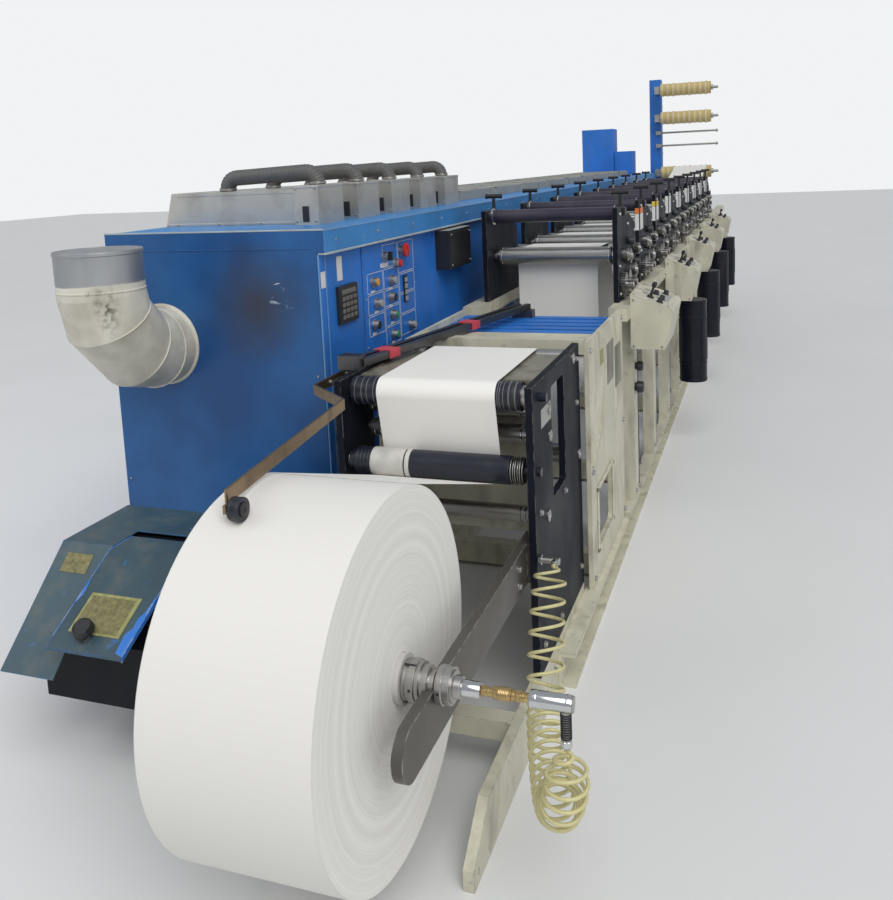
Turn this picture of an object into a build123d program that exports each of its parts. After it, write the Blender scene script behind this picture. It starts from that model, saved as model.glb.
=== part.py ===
from build123d import *
from math import asin, atan2, cos, pi, radians, sin, sqrt, tan
import os

# A narrow-web flexographic label press in millimetres. While it is drawn, x is measured from the
# centreline of the web (positive to the operator side), y along the press from the axis of the
# supply roll, and z up from the floor. All parts are moved together when they are written out.

os.makedirs("parts", exist_ok=True)

# Driving sizes of the web and the supply roll
web_width = 330
web_gauge = 0.6
run_clear = 0.4
roll_radius = 364
roll_height = 487
core_bore = 38
core_wall = 10
shaft_radius = 15

# Driving sizes of the base
rail_outer = 322
rail_inner = 272
rail_height = 100
rail_front = 840
flange = 12
toe_thick = 25
toe_height = 130
toe_front = 66
toe_slope = 116
toe_nose = 45
toe_hole_radius = 7
crossbar_y = 443
crossbar_width = 50
tube_wall = 4

# Driving sizes of the infeed unit
plate_thick = 20
plate_front = 650
plate_rear = 1232
plate_top = 900
slot_setback = 200
slot_width = 160
arm_outer = 240
arm_thick = 22
arm_depth = 104
arm_nose = -185
top_roll_y = 722
top_roll_radius = 38
low_roll_y = 684
low_roll_z = 674
low_roll_radius = 37
journal = 12
turn_roll_radius = 26
low_turn_radius = 30
low_turn_z = 560

# Driving sizes of the press frame and the print stations
panel_thick = 15
panel_rear = 1900
frame_top = 900
beam_depth = 50
column_depth = 90
stations = 9
station_pitch = 614
station_front = 2030
station_depth = 470
station_rise = 368
station_step = 38
frame_tail = 1564
tail_columns = 3
tube_radius = 27
roller_face = 228
idler_radius = 36
idler_rise = 164
front_roll_radius = 34
front_roll_rise = 12
rear_idler_radius = 24
rear_idler_rise = 8
impression_radius = 60
impression_drop = 165
plate_cylinder_radius = 50
anilox_radius = 38
print_face = 190
gear_radius = 50
gear_teeth = 30
tooth_height = 6

# Driving sizes of the operator consoles and the side drives
console_reach = 160
console_depth = 330
console_height = 170
drum_radius = 68
drum_height = 420
screw_radius = 12

# Driving sizes of the cabinet
cabinet_gap = 78
cabinet_width = 740
cabinet_front = 850
cabinet_foot = 80
cabinet_top = 1222
cap_height = 66
cap_over = 22
panel_width = 455
panel_height = 340
keypad_width = 129
keypad_height = 115
box_width = 258
box_height = 150
box_reach = 62
blowers = 5
blower_pitch = 300
blower_height = 112
hose_rise = 44
duct_radius = 120
duct_wall = 3
duct_bend = 200
duct_height = 945

# Driving sizes of the guard console
guard_top = 500
guard_back = 637
guard_far = -968
guard_near = -325
guard_sheet = 10

# Driving sizes of the rewind tower
tower_setback = 200
tower_depth = 150
column_width = 120
column_top = 2290
top_core_drop = 124
middle_core_drop = 420
strip_shaft_drops = (574, 712)
core_radius = 64
cantilever = 600


# Shared shapes

def block(x0, x1, y0, y1, z0, z1, mode=Mode.ADD):
    """A rectangular bar between its low and high corners."""
    with BuildSketch(Plane.XY.offset(z0)) as profile:
        with Locations(((x0 + x1) / 2, (y0 + y1) / 2)):
            Rectangle(x1 - x0, y1 - y0)
    extrude(profile.sketch, amount=z1 - z0, mode=mode)


def roller(radius, x0, x1, y, z, mode=Mode.ADD):
    """A round bar across the press."""
    with BuildSketch(Plane.YZ.offset(x0)) as profile:
        with Locations((y, z)):
            Circle(radius)
    extrude(profile.sketch, amount=x1 - x0, mode=mode)


def post(radius, x, y, z0, z1, mode=Mode.ADD):
    """An upright round bar."""
    with BuildSketch(Plane.XY.offset(z0)) as profile:
        with Locations((x, y)):
            Circle(radius)
    extrude(profile.sketch, amount=z1 - z0, mode=mode)


def window(x0, x1, y0, y1, z0, z1, radius):
    """A round-cornered opening through a plate across x."""
    with BuildSketch(Plane.YZ.offset(x0)) as profile:
        with Locations(((y0 + y1) / 2, (z0 + z1) / 2)):
            RectangleRounded(y1 - y0, z1 - z0, radius)
    extrude(profile.sketch, amount=x1 - x0, mode=Mode.SUBTRACT)


def outline(points, x0, x1, mode=Mode.ADD):
    """A plate across x cut to an outline of (y, z) points."""
    with BuildSketch(Plane.YZ.offset(x0)) as profile:
        with BuildLine():
            Polyline(*points, close=True)
        make_face()
    extrude(profile.sketch, amount=x1 - x0, mode=mode)


def section(points, y0, y1):
    """A bar along y with a section of (x, z) points."""
    with BuildSketch(Plane.XZ.offset(-y0)) as profile:
        with BuildLine():
            Polyline(*points, close=True)
        make_face()
    extrude(profile.sketch, amount=y0 - y1)


def sided(side, near, far):
    """The low and high x of a piece between two distances from the centreline."""
    return sorted((side * near, side * far))


def web_strip(stops, width, gauge):
    """A strip of web round a row of (y, z, radius, turn) rollers, as tangent lines and arcs."""
    headings = []
    for (ya, za, ra, ta), (yb, zb, rb, tb) in zip(stops, stops[1:]):
        span = sqrt((yb - ya) ** 2 + (zb - za) ** 2)
        headings.append(atan2(zb - za, yb - ya) + asin((ta * ra - tb * rb) / span))

    def edge_point(stop, heading, offset):
        y, z, radius, turn = stop
        reach = turn * radius + offset
        return (y + reach * sin(heading), z - reach * cos(heading))

    with BuildSketch(Plane.YZ.offset(-width / 2)) as profile:
        with BuildLine():
            for offset in (-gauge / 2, gauge / 2):
                for index, heading in enumerate(headings):
                    first = edge_point(stops[index], heading, offset)
                    last = edge_point(stops[index + 1], heading, offset)
                    Line(first, last)
                    if index + 1 < len(headings):
                        turn = stops[index + 1][3]
                        swing = (headings[index + 1] - heading) * turn % (2 * pi) * turn
                        middle = edge_point(stops[index + 1], heading + swing / 2, offset)
                        after = edge_point(stops[index + 1], heading + swing, offset)
                        ThreePointArc(last, middle, after)
            for stop, heading in ((stops[0], headings[0]), (stops[-1], headings[-1])):
                Line(edge_point(stop, heading, -gauge / 2), edge_point(stop, heading, gauge / 2))
        make_face()
    extrude(profile.sketch, amount=width)


def bend_radii(points):
    """An easy bend for each inner point of a route, from its two runs and its turn."""
    route = [Vector(*point) for point in points]
    radii = []
    for before, corner, after in zip(route, route[1:], route[2:]):
        run_in = corner - before
        run_out = after - corner
        half_turn = radians(run_in.get_angle(run_out)) / 2
        radii.append(0.45 * min(run_in.length, run_out.length) / tan(half_turn))
    return radii


# Derived positions
both_sides = (-1, 1)
half_web = web_width / 2
paper_offset = run_clear + web_gauge / 2
plate_inner = rail_inner - plate_thick
toe_inner = rail_inner - toe_thick
arm_inner = arm_outer - arm_thick
arm_top = roll_height - 1
arm_bottom = arm_top - arm_depth
top_roll_z = plate_top - 3 - top_roll_radius
turn_roll_y = plate_rear - 90
turn_roll_z = top_roll_z + top_roll_radius - turn_roll_radius
low_turn_y = turn_roll_y + turn_roll_radius + low_turn_radius + 2 * paper_offset
panel_outer = rail_outer - 20
panel_inner = panel_outer - panel_thick
panel_front = plate_rear + 4
beam_bottom = frame_top - beam_depth
station_starts = [station_front + station_pitch * n for n in range(stations)]
tail_start = station_front + station_pitch * stations
rail_rear = tail_start + frame_tail
tower_y = rail_rear - tower_setback
column_starts = [start + 20 for start in station_starts]
column_starts += [tail_start + 20 + frame_tail * n / tail_columns for n in range(tail_columns)]
station_top = frame_top + station_rise
idler_height = frame_top + idler_rise
stem_foot = station_top - station_step
tube_setback = 100
tube_height = station_top - tube_radius
stem_setback = 152
idler_setback = 190
front_roll_setback = idler_setback - idler_radius - front_roll_radius - 2 * paper_offset
rear_idler_setback = station_depth - 40
impression_setback = idler_setback - idler_radius - impression_radius
impression_height = frame_top - impression_drop
cabinet_side = -rail_outer - cabinet_gap
cabinet_back = cabinet_side - cabinet_width
cabinet_rear = tower_y - 20
cap_top = cabinet_top + cap_height

# Base

with BuildPart() as base_rails:
    for side in both_sides:
        low, high = sided(side, rail_inner, rail_outer)
        block(low, high, rail_front, rail_rear, 0, rail_height)
        low, high = sided(side, rail_inner + flange, rail_outer + 1)
        block(low, high, rail_front - 1, rail_rear + 1, flange, rail_height - flange, mode=Mode.SUBTRACT)

with BuildPart() as base_ties:
    for start in [panel_front + 300] + [y + station_depth for y in station_starts[::2]]:
        block(-rail_inner, rail_inner, start, start + 60, flange, rail_height - flange)

crossbar_end = crossbar_y + crossbar_width
crossbar_foot = toe_height - crossbar_width
with BuildPart() as unwind_toes:
    for side in both_sides:
        low, high = sided(side, toe_inner, rail_inner)
        outline(
            [
                (toe_front, 0),
                (plate_rear, 0),
                (plate_rear, toe_height),
                (toe_front + toe_slope, toe_height),
                (toe_front, toe_nose),
            ],
            low,
            high,
        )
        roller(toe_hole_radius, low, high, toe_front + 30, toe_nose - 18, mode=Mode.SUBTRACT)

with BuildPart() as crossbar:
    block(-toe_inner, toe_inner, crossbar_y, crossbar_end, crossbar_foot, toe_height)
    block(
        -toe_inner,
        toe_inner,
        crossbar_y + tube_wall,
        crossbar_end - tube_wall,
        crossbar_foot + tube_wall,
        toe_height - tube_wall,
        mode=Mode.SUBTRACT,
    )

# Infeed unit

slot_start = plate_front + slot_setback
slot_bottom = low_roll_z - 129
with BuildPart() as infeed_plates:
    for side in both_sides:
        low, high = sided(side, plate_inner, rail_inner)
        outline(
            [
                (plate_front, toe_height),
                (plate_rear, toe_height),
                (plate_rear, plate_top),
                (plate_front, plate_top),
            ],
            low,
            high,
        )
        window(low, high, slot_start, slot_start + slot_width, slot_bottom, plate_top - 45, 12)
        for y, z in ((top_roll_y, top_roll_z), (low_roll_y, low_roll_z)):
            roller(journal + run_clear, low, high, y, z, mode=Mode.SUBTRACT)

arm_end = plate_front + 100
with BuildPart() as cradle_arms:
    for side in both_sides:
        low, high = sided(side, arm_inner, arm_outer)
        nose_y = arm_nose + arm_depth / 2
        outline(
            [(nose_y, arm_bottom), (arm_end, arm_bottom), (arm_end, arm_top), (nose_y, arm_top)],
            low,
            high,
        )
        roller(arm_depth / 2, low, high, nose_y, (arm_top + arm_bottom) / 2)
        roller(shaft_radius + run_clear, low, high, 0, roll_height, mode=Mode.SUBTRACT)
        low, high = sided(side, arm_outer, plate_inner)
        block(low, high, arm_end - 85, arm_end, arm_bottom, arm_top)

with BuildPart() as infeed_idlers:
    for setback, drop, radius in ((95, 55, 28), (100, 130, 26), (60, 338, 22)):
        y = top_roll_y + setback
        z = top_roll_z - drop
        roller(radius, -plate_inner + 14, plate_inner - 14, y, z)
        roller(journal, -plate_inner, plate_inner, y, z)
    for y, z, radius in (
        (turn_roll_y, turn_roll_z, turn_roll_radius),
        (low_turn_y, low_turn_z, low_turn_radius),
    ):
        roller(radius, -plate_inner + 6, plate_inner - 6, y, z)
        roller(journal, -plate_inner, plate_inner, y, z)

table_top = top_roll_z + top_roll_radius - 9
table_end = turn_roll_y - turn_roll_radius - 8
with BuildPart() as infeed_table:
    block(-plate_inner, plate_inner, top_roll_y + 60, table_end, table_top - 10, table_top)

with BuildPart() as infeed_back_panel:
    block(-plate_inner, plate_inner, slot_start + 30, slot_start + 36, 430, table_top - 10)

with BuildPart() as frame_crossbars:
    block(-panel_inner, panel_inner, panel_front, panel_front + 48, frame_top - 38, frame_top + 6)
    block(-panel_inner, panel_inner, panel_front + 60, panel_front + 172, frame_top - 45, frame_top - 5)

slat_top = frame_top - 22
slat_starts = [panel_front + 200 + 72 * n for n in range(6)]
with BuildPart() as blue_slats:
    for start in slat_starts:
        block(-panel_inner, panel_inner, start, start + 44, slat_top - 12, slat_top)

bar_rest = slat_starts[-1]
with BuildPart() as guide_bar:
    with BuildSketch(Plane.XY.offset(frame_top + 6)):
        for shift in (0, 36):
            with BuildLine():
                Polyline(
                    (-300 + shift, slot_start - 50),
                    (-282 + shift, slot_start - 56),
                    (-62 + shift, bar_rest + 26),
                    (-80 + shift, bar_rest + 32),
                    close=True,
                )
            make_face()
    extrude(amount=22)
    block(-318, -plate_inner, slot_start - 78, slot_start - 34, frame_top, frame_top + 40)
    block(-92, -14, bar_rest, bar_rest + 44, slat_top, frame_top + 6)

# Press frame

with BuildPart() as frame_panels:
    for side in both_sides:
        low, high = sided(side, panel_inner, panel_outer)
        outline(
            [
                (panel_front, rail_height),
                (panel_rear, rail_height),
                (panel_rear, frame_top),
                (panel_front, frame_top),
            ],
            low,
            high,
        )
        window(low, high, panel_front + 100, panel_front + 370, 205, 395, 20)

with BuildPart() as top_beams:
    for side in both_sides:
        low, high = sided(side, plate_inner, rail_outer)
        block(low, high, panel_rear, rail_rear, beam_bottom, frame_top)

with BuildPart() as columns:
    for side in both_sides:
        low, high = sided(side, rail_inner, rail_outer)
        for start in column_starts:
            block(low, high, start, start + column_depth, rail_height, beam_bottom)

with BuildPart() as cabinet_ties:
    for start in column_starts:
        block(cabinet_side, -rail_outer, start, start + column_depth, 300, 380)


# Print stations

def station_plates(low, high):
    """The upright side plates of every print station on one side of the press."""
    for start in station_starts:
        outline(
            [
                (start, frame_top),
                (start + station_depth, frame_top),
                (start + station_depth, stem_foot - 50),
                (start + station_depth - 170, stem_foot),
                (start + tube_setback + 40, stem_foot),
                (start + tube_setback + 18, station_top),
                (start, station_top),
            ],
            low,
            high,
        )


with BuildPart() as station_plates_operator:
    station_plates(plate_inner, rail_inner)

with BuildPart() as station_plates_gear:
    station_plates(-rail_inner, -plate_inner)

with BuildPart() as cross_tubes:
    for start in station_starts:
        roller(tube_radius, -plate_inner, plate_inner, start + tube_setback, tube_height)

rear_idler_height = idler_height + rear_idler_rise
front_roll_height = idler_height + front_roll_rise
with BuildPart() as idler_rollers:
    for start in station_starts:
        for setback, height, radius in (
            (front_roll_setback, front_roll_height, front_roll_radius),
            (idler_setback, idler_height, idler_radius),
            (rear_idler_setback, rear_idler_height, rear_idler_radius),
        ):
            roller(radius, -roller_face, roller_face, start + setback, height)
            roller(journal, -plate_inner, plate_inner, start + setback, height)

with BuildPart() as impression_cylinders:
    for start in station_starts:
        y = start + impression_setback
        roller(impression_radius, -print_face, print_face, y, impression_height)
        roller(journal, -rail_inner, rail_inner, y, impression_height)

plate_reach = impression_radius + plate_cylinder_radius + 2 * paper_offset
plate_cylinder_setback = impression_setback + plate_reach * cos(radians(-38))
plate_cylinder_height = impression_height + plate_reach * sin(radians(-38))
with BuildPart() as plate_cylinders:
    for start in station_starts:
        y = start + plate_cylinder_setback
        roller(plate_cylinder_radius, -print_face, print_face, y, plate_cylinder_height)
        roller(journal, -rail_inner, rail_inner, y, plate_cylinder_height)

anilox_reach = plate_cylinder_radius + anilox_radius + run_clear
anilox_setback = plate_cylinder_setback + anilox_reach * cos(radians(-30))
anilox_height = plate_cylinder_height + anilox_reach * sin(radians(-30))
with BuildPart() as anilox_rollers:
    for start in station_starts:
        y = start + anilox_setback
        roller(anilox_radius, -print_face, print_face, y, anilox_height)
        roller(journal, -rail_inner, rail_inner, y, anilox_height)

carrier_start = 20 + column_depth
bearing_setback = rear_idler_setback - 100
with BuildPart() as bearing_blocks:
    for side in both_sides:
        low, high = sided(side, rail_inner, rail_inner + 22)
        for start in station_starts:
            roller(26, low, high, start + front_roll_setback, front_roll_height)
            roller(30, low, high, start + idler_setback, idler_height)
            roller(24, low, high, start + rear_idler_setback, rear_idler_height)
            roller(34, low, high, start + bearing_setback, frame_top + 90)
        low, high = sided(side, rail_inner, rail_inner + 12)
        for start in station_starts:
            block(
                low,
                high,
                start + carrier_start,
                start + anilox_setback + 50,
                anilox_height - 60,
                beam_bottom,
            )

stem_top = stem_foot + 92
with BuildPart() as adjuster_stems:
    for start in station_starts:
        for side in both_sides:
            x = side * (plate_inner + rail_inner) / 2
            post(7, x, start + stem_setback, stem_foot, stem_top)
            roller(9, x - 34, x + 34, start + stem_setback, stem_top)

gear_height = frame_top + gear_radius + 10
gear_spread = 2 * gear_radius + 2
gear_places = [(start + setback, gear_height) for start in station_starts
               for setback in (impression_setback, impression_setback + gear_spread)]
root_radius = gear_radius - tooth_height
tooth_outline = []
for step in range(4 * gear_teeth):
    angle = 2 * pi * step / gear_teeth / 4
    reach = root_radius if step % 4 < 2 else gear_radius
    tooth_outline.append((reach * cos(angle), reach * sin(angle)))
with BuildSketch() as gear_profile:
    with BuildLine():
        Polyline(*tooth_outline, close=True)
    make_face()
with BuildPart() as drive_gears:
    with BuildSketch(Plane.YZ.offset(rail_inner)) as profile:
        with Locations(*gear_places):
            add(gear_profile.sketch)
    extrude(profile.sketch, amount=18)
    with BuildSketch(Plane.YZ.offset(rail_inner + 18)) as profile:
        with Locations(*gear_places):
            Circle(16)
    extrude(profile.sketch, amount=rail_outer - rail_inner - 24)

# Web

infeed_stops = [
    (0, roll_height, roll_radius + paper_offset, -1),
    (low_roll_y, low_roll_z, low_roll_radius + paper_offset, 1),
    (top_roll_y, top_roll_z, top_roll_radius + paper_offset, -1),
    (turn_roll_y, turn_roll_z, turn_roll_radius + paper_offset, -1),
    (low_turn_y, low_turn_z, low_turn_radius + paper_offset, 1),
]
press_stops = []
for start in station_starts:
    press_stops += [
        (start + impression_setback, impression_height, impression_radius + paper_offset, 1),
        (start + idler_setback, idler_height, idler_radius + paper_offset, -1),
        (start + rear_idler_setback, rear_idler_height, rear_idler_radius + paper_offset, -1),
    ]
rewind_y = tower_y - core_radius - 46
rewind_z = frame_top + 387
rewind_stop = (rewind_y, rewind_z, core_radius + paper_offset, -1)

with BuildPart() as web:
    web_strip(infeed_stops + press_stops[:-1] + [rewind_stop], web_width, web_gauge)

# Operator side

console_starts = [start - 50 for start in station_starts[::2]]
console_outer = rail_outer + console_reach
console_foot = frame_top - console_height
console_lip = (console_outer - 10, frame_top - 10)
console_crown = (rail_outer, frame_top + 42)
with BuildPart() as console_boxes:
    for start in console_starts:
        section(
            [
                (rail_outer, console_foot),
                (console_outer - 32, console_foot),
                (console_outer, frame_top - 26),
                console_lip,
                console_crown,
            ],
            start,
            start + console_depth,
        )

# Guard console beside the supply roll

guard_lip_y = 118
guard_bend_y = 370
guard_lip_z = guard_top - 236
with BuildPart() as guard_body:
    outline(
        [
            (190, 40),
            (guard_back, 40),
            (guard_back, guard_top - guard_sheet),
            (guard_bend_y + 12, guard_top - guard_sheet),
            (190, guard_top - 192),
        ],
        guard_far + 16,
        guard_near - 20,
    )
    block(guard_far + 60, guard_near - 60, guard_back, cabinet_front, 40, 120)
    for x in (guard_far + 60, guard_near - 100):
        block(x, x + 40, 220, guard_back - 50, 0, 40)

with BuildPart() as guard_cover:
    outline(
        [
            (guard_lip_y, guard_lip_z),
            (guard_lip_y + 6, guard_lip_z - 6),
            (guard_bend_y + 6, guard_top - guard_sheet),
            (guard_back, guard_top - guard_sheet),
            (guard_back, guard_top),
            (guard_bend_y, guard_top),
        ],
        guard_far,
        guard_near,
    )

guard_slope = (guard_top - guard_lip_z) / (guard_bend_y - guard_lip_y)
guard_knob_y = guard_lip_y + 72
guard_knob_seat = (guard_far + 330, guard_knob_y, guard_lip_z + 72 * guard_slope)
console_slope = (console_crown[1] - console_lip[1]) / (console_lip[0] - console_crown[0])
with BuildPart() as control_knobs:
    for start in console_starts:
        for y, share in ((40, 0.7), (110, 0.7), (180, 0.5), (250, 0.7)):
            x = rail_outer + share * (console_lip[0] - rail_outer)
            seat = (x, start + y, console_crown[1] - (x - rail_outer) * console_slope)
            with BuildSketch(Plane(origin=seat, z_dir=(console_slope, 0, 1))):
                Circle(13)
            extrude(amount=16)
    with BuildSketch(Plane(origin=guard_knob_seat, z_dir=(0, -guard_slope, 1))):
        Circle(17)
    extrude(amount=26)

drum_foot = console_foot - drum_height
with BuildPart() as drums:
    for start in console_starts[1:]:
        post(drum_radius, rail_outer + drum_radius + 60, start + 70, drum_foot, console_foot)

with BuildPart() as lead_screws:
    for start in station_starts:
        for setback in (160, 230):
            post(screw_radius, rail_outer - 25, start + setback, rail_height, beam_bottom)

# Cabinet

with BuildPart() as cabinet_plinth:
    block(cabinet_back + 40, cabinet_side - 40, cabinet_front + 40, cabinet_rear - 40, 0, cabinet_foot)

with BuildPart() as cabinet_body:
    block(cabinet_back, cabinet_side, cabinet_front, cabinet_rear, cabinet_foot, cabinet_top)

with BuildPart() as cabinet_cap:
    block(cabinet_back, cabinet_side + cap_over, cabinet_front, cabinet_rear, cabinet_top, cap_top)

panel_start = cabinet_front + 290
panel_end = panel_start + panel_width
panel_top = cabinet_top - 12
panel_foot = panel_top - panel_height
with BuildPart() as control_panel:
    block(cabinet_side, cabinet_side + 5, panel_start, panel_end, panel_foot, panel_top)

with BuildPart() as cabinet_boxes:
    keypad_start = cabinet_front + 97
    keypad_foot = cabinet_top - 227
    block(
        cabinet_side,
        cabinet_side + 14,
        keypad_start,
        keypad_start + keypad_width,
        keypad_foot,
        keypad_foot + keypad_height,
    )
    box_start = panel_start + 682
    box_end = box_start + box_width
    box_top = cabinet_top - 14
    block(cabinet_side, cabinet_side + box_reach, box_start, box_end, box_top - box_height, box_top)

selector_row = ((172, 295), (323, 301))
button_rows = ((71, 221), (220, 208), (93, 148), (213, 151), (68, 80), (222, 90), (222, 21), (382, 27))
with BuildPart() as push_buttons:
    for across, up in selector_row + button_rows:
        y = panel_start + across
        roller(13, cabinet_side + 5, cabinet_side + 24, y, panel_foot + up)

blower_starts = [cabinet_front + 305 + blower_pitch * n for n in range(blowers)]
blower_top = cap_top + blower_height
housing_far = cabinet_back + 10
housing_near = cabinet_side - 200
tower_height = blower_top + 12
with BuildPart() as blower_housings:
    for start in blower_starts:
        section(
            [
                (housing_far, cap_top),
                (housing_near, cap_top),
                (housing_near, blower_top),
                (housing_far + 30, blower_top),
            ],
            start,
            start + 250,
        )
        block(housing_near, housing_near + 86, start - 60, start + 120, cap_top, tower_height)

hose_radius = 26
hose_bend = 38
hose_x = housing_near + 36
hose_end = housing_far + 230
with BuildPart() as blower_hoses:
    for start in blower_starts:
        y = start + 40
        with BuildLine(Plane.XZ.offset(-y)) as hose_route:
            FilletPolyline(
                (hose_x, tower_height),
                (hose_x, tower_height + hose_rise),
                (hose_end, blower_top + hose_rise),
                (hose_end, blower_top),
                radius=hose_bend,
            )
        with BuildSketch(Plane.XY.offset(tower_height)):
            with Locations((hose_x, y)):
                Circle(hose_radius)
        sweep()

tray_starts = [blower_starts[-1] + 340 + station_pitch * n for n in range(stations)]
with BuildPart() as top_trays:
    for start in tray_starts:
        block(cabinet_back + 60, cabinet_side - 180, start, start + 540, cap_top, cap_top + 40)

# Exhaust elbow

duct_x = cabinet_side - 550
duct_y = cabinet_front - 60 - duct_bend
with BuildPart() as exhaust_elbow:
    with BuildLine(Plane.YZ.offset(duct_x)) as duct_route:
        Polyline(
            (cabinet_front, duct_height),
            (cabinet_front - 60, duct_height),
            (cabinet_front - 60 - duct_bend * 0.4, duct_height + duct_bend * 0.1),
            (duct_y + duct_bend * 0.1, duct_height + duct_bend * 0.6),
            (duct_y, duct_height + duct_bend),
            (duct_y, duct_height + duct_bend + 120),
        )
    with BuildSketch(Plane(origin=(duct_x, cabinet_front, duct_height), z_dir=(0, -1, 0))):
        Circle(duct_radius)
        Circle(duct_radius - duct_wall, mode=Mode.SUBTRACT)
    sweep(transition=Transition.RIGHT)

# Rewind tower

column_x = -rail_outer - column_width
shaft_start = -rail_outer
with BuildPart() as tower_column:
    block(column_x, shaft_start, tower_y, tower_y + tower_depth, 0, column_top)

bracket_x = shaft_start - 52
rewind_heights = (rewind_z, column_top - middle_core_drop, column_top - top_core_drop)
with BuildPart() as tower_shafts:
    for z in rewind_heights:
        block(bracket_x, shaft_start, rewind_y - 30, tower_y, z - 40, z + 40)
        roller(14, shaft_start, shaft_start + cantilever, rewind_y, z)
    for z in [column_top - drop for drop in strip_shaft_drops]:
        block(bracket_x, shaft_start, tower_y - 40, tower_y, z - 20, z + 20)
        roller(10, shaft_start, shaft_start + cantilever, tower_y - 20, z)

core_start = shaft_start + 12
with BuildPart() as rewind_cores:
    for z in rewind_heights:
        roller(core_radius, core_start, core_start + cantilever - 80, rewind_y, z)
        roller(14, core_start, core_start + cantilever - 80, rewind_y, z, mode=Mode.SUBTRACT)

with BuildPart() as tower_boxes:
    block(cabinet_back, cabinet_back + 340, cabinet_rear - 260, cabinet_rear, cap_top, cap_top + 494)
    block(cabinet_back + 345, cabinet_back + 540, cabinet_rear - 240, cabinet_rear, cap_top, cap_top + 248)

# Supply roll

core_end = half_web + 12
chuck_end = arm_inner - 6
collar_start = arm_outer + 4
collar_end = collar_start + 28
sleeve_end = collar_start + 82
coupler_end = sleeve_end + 92
with BuildPart() as paper_roll:
    roller(roll_radius, -half_web, half_web, 0, roll_height)
    roller(core_bore + core_wall, -half_web, half_web, 0, roll_height, mode=Mode.SUBTRACT)

with BuildPart() as roll_core:
    roller(core_bore + core_wall, -core_end, core_end, 0, roll_height)
    roller(core_bore, -core_end, core_end, 0, roll_height, mode=Mode.SUBTRACT)

with BuildPart() as roll_shaft:
    roller(core_bore, -chuck_end, chuck_end, 0, roll_height)
    roller(shaft_radius, -collar_start, collar_start, 0, roll_height)
    for side in both_sides:
        low, high = sided(side, collar_start, collar_end)
        roller(core_bore - 3, low, high, 0, roll_height)
    roller(shaft_radius - 2, collar_end, sleeve_end, 0, roll_height)

with BuildPart() as quick_coupler:
    roller(8, sleeve_end, coupler_end, 0, roll_height)
    roller(11, sleeve_end + 24, sleeve_end + 58, 0, roll_height)

# Air hose from the infeed plate to the roll shaft

coil_radius = 44
hose_points = [
    (318, 640, 450),
    (318, 585, 450),
    (336, 480, 412),
    (370, 305, 332),
    (409, 160, 272),
    (446, 50, 240),
    (470, 4, 276),
    (484, -6, 334),
    (484, 0, 376),
    (484, 0, 402),
]
hose_radii = bend_radii(hose_points)
with BuildPart() as air_hose:
    with BuildLine() as coil_route:
        FilletPolyline(*hose_points, radius=hose_radii)
    with BuildSketch(Plane(origin=hose_points[0], z_dir=Vector(*hose_points[1]) - Vector(*hose_points[0]))):
        Circle(coil_radius)
    sweep()
print("hose bend radii", [round(radius) for radius in hose_radii])

fitting_x, fitting_y, fitting_z = hose_points[0]
swivel_x, swivel_y, swivel_z = hose_points[-1]
with BuildPart() as hose_fittings:
    roller(9, rail_inner, fitting_x + 9, plate_front + 12, fitting_z)
    with BuildSketch(Plane.XZ.offset(-plate_front - 12)):
        with Locations((fitting_x, fitting_z)):
            Circle(9)
    extrude(amount=plate_front + 12 - fitting_y)
    roller(15, coupler_end + run_clear, swivel_x + 15, 0, roll_height)
    post(9, swivel_x, swivel_y, swivel_z, roll_height)

# Rollers of the infeed unit that the web drives

with BuildPart() as top_roller:
    roller(top_roll_radius, -plate_inner + 10, plate_inner - 22, top_roll_y, top_roll_z)
    roller(journal, -rail_inner - 16, rail_inner + 20, top_roll_y, top_roll_z)

with BuildPart() as lower_roller:
    roller(low_roll_radius, -half_web - 60, half_web - 15, low_roll_y, low_roll_z)
    roller(low_roll_radius - 9, -half_web - 75, half_web + 35, low_roll_y, low_roll_z)
    roller(journal, -rail_inner - 16, rail_inner + 10, low_roll_y, low_roll_z)

# Roll follower

follower_x = -rail_inner - 58
bar_half = 3
bar_height = 28
bar_bottom = roll_height + roll_radius + 8
pivot_y = slot_start + 50
pivot_z = bar_bottom + bar_height / 2
pivot_radius = 7
wheel_x = -84
wheel_y = -128
wheel_radius = 22
wheel_reach = roll_radius + wheel_radius + run_clear
wheel_z = roll_height + sqrt(wheel_reach ** 2 - wheel_y ** 2)
lug_x = wheel_x - 22
with BuildPart() as follower_arm:
    with BuildSketch(Plane.XY.offset(bar_bottom)):
        with BuildLine():
            Polyline((follower_x, pivot_y + 20), (follower_x, plate_front), (-182, 522), (lug_x, wheel_y))
            offset(amount=bar_half)
        make_face()
    extrude(amount=bar_height)
    hole_start = follower_x - bar_half
    roller(
        pivot_radius + run_clear,
        hole_start,
        hole_start + 2 * bar_half,
        pivot_y,
        pivot_z,
        mode=Mode.SUBTRACT,
    )

with BuildPart() as wheel_bracket:
    block(lug_x - bar_half, lug_x + bar_half, wheel_y - 10, wheel_y + 14, wheel_z - 9, bar_bottom)

with BuildPart() as follower_pivot:
    roller(pivot_radius, follower_x - 14, -rail_inner, pivot_y, pivot_z)
    roller(13, follower_x - 14, follower_x - bar_half - run_clear, pivot_y, pivot_z)
    roller(13, follower_x + bar_half + run_clear, -rail_inner - 20, pivot_y, pivot_z)

with BuildPart() as follower_wheel:
    roller(wheel_radius, wheel_x - 10, wheel_x + 12, wheel_y, wheel_z)
    roller(6, lug_x + bar_half + run_clear, wheel_x + 16, wheel_y, wheel_z)

# Write the parts, moved so that the middle of the footprint without the hose is the origin

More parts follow.
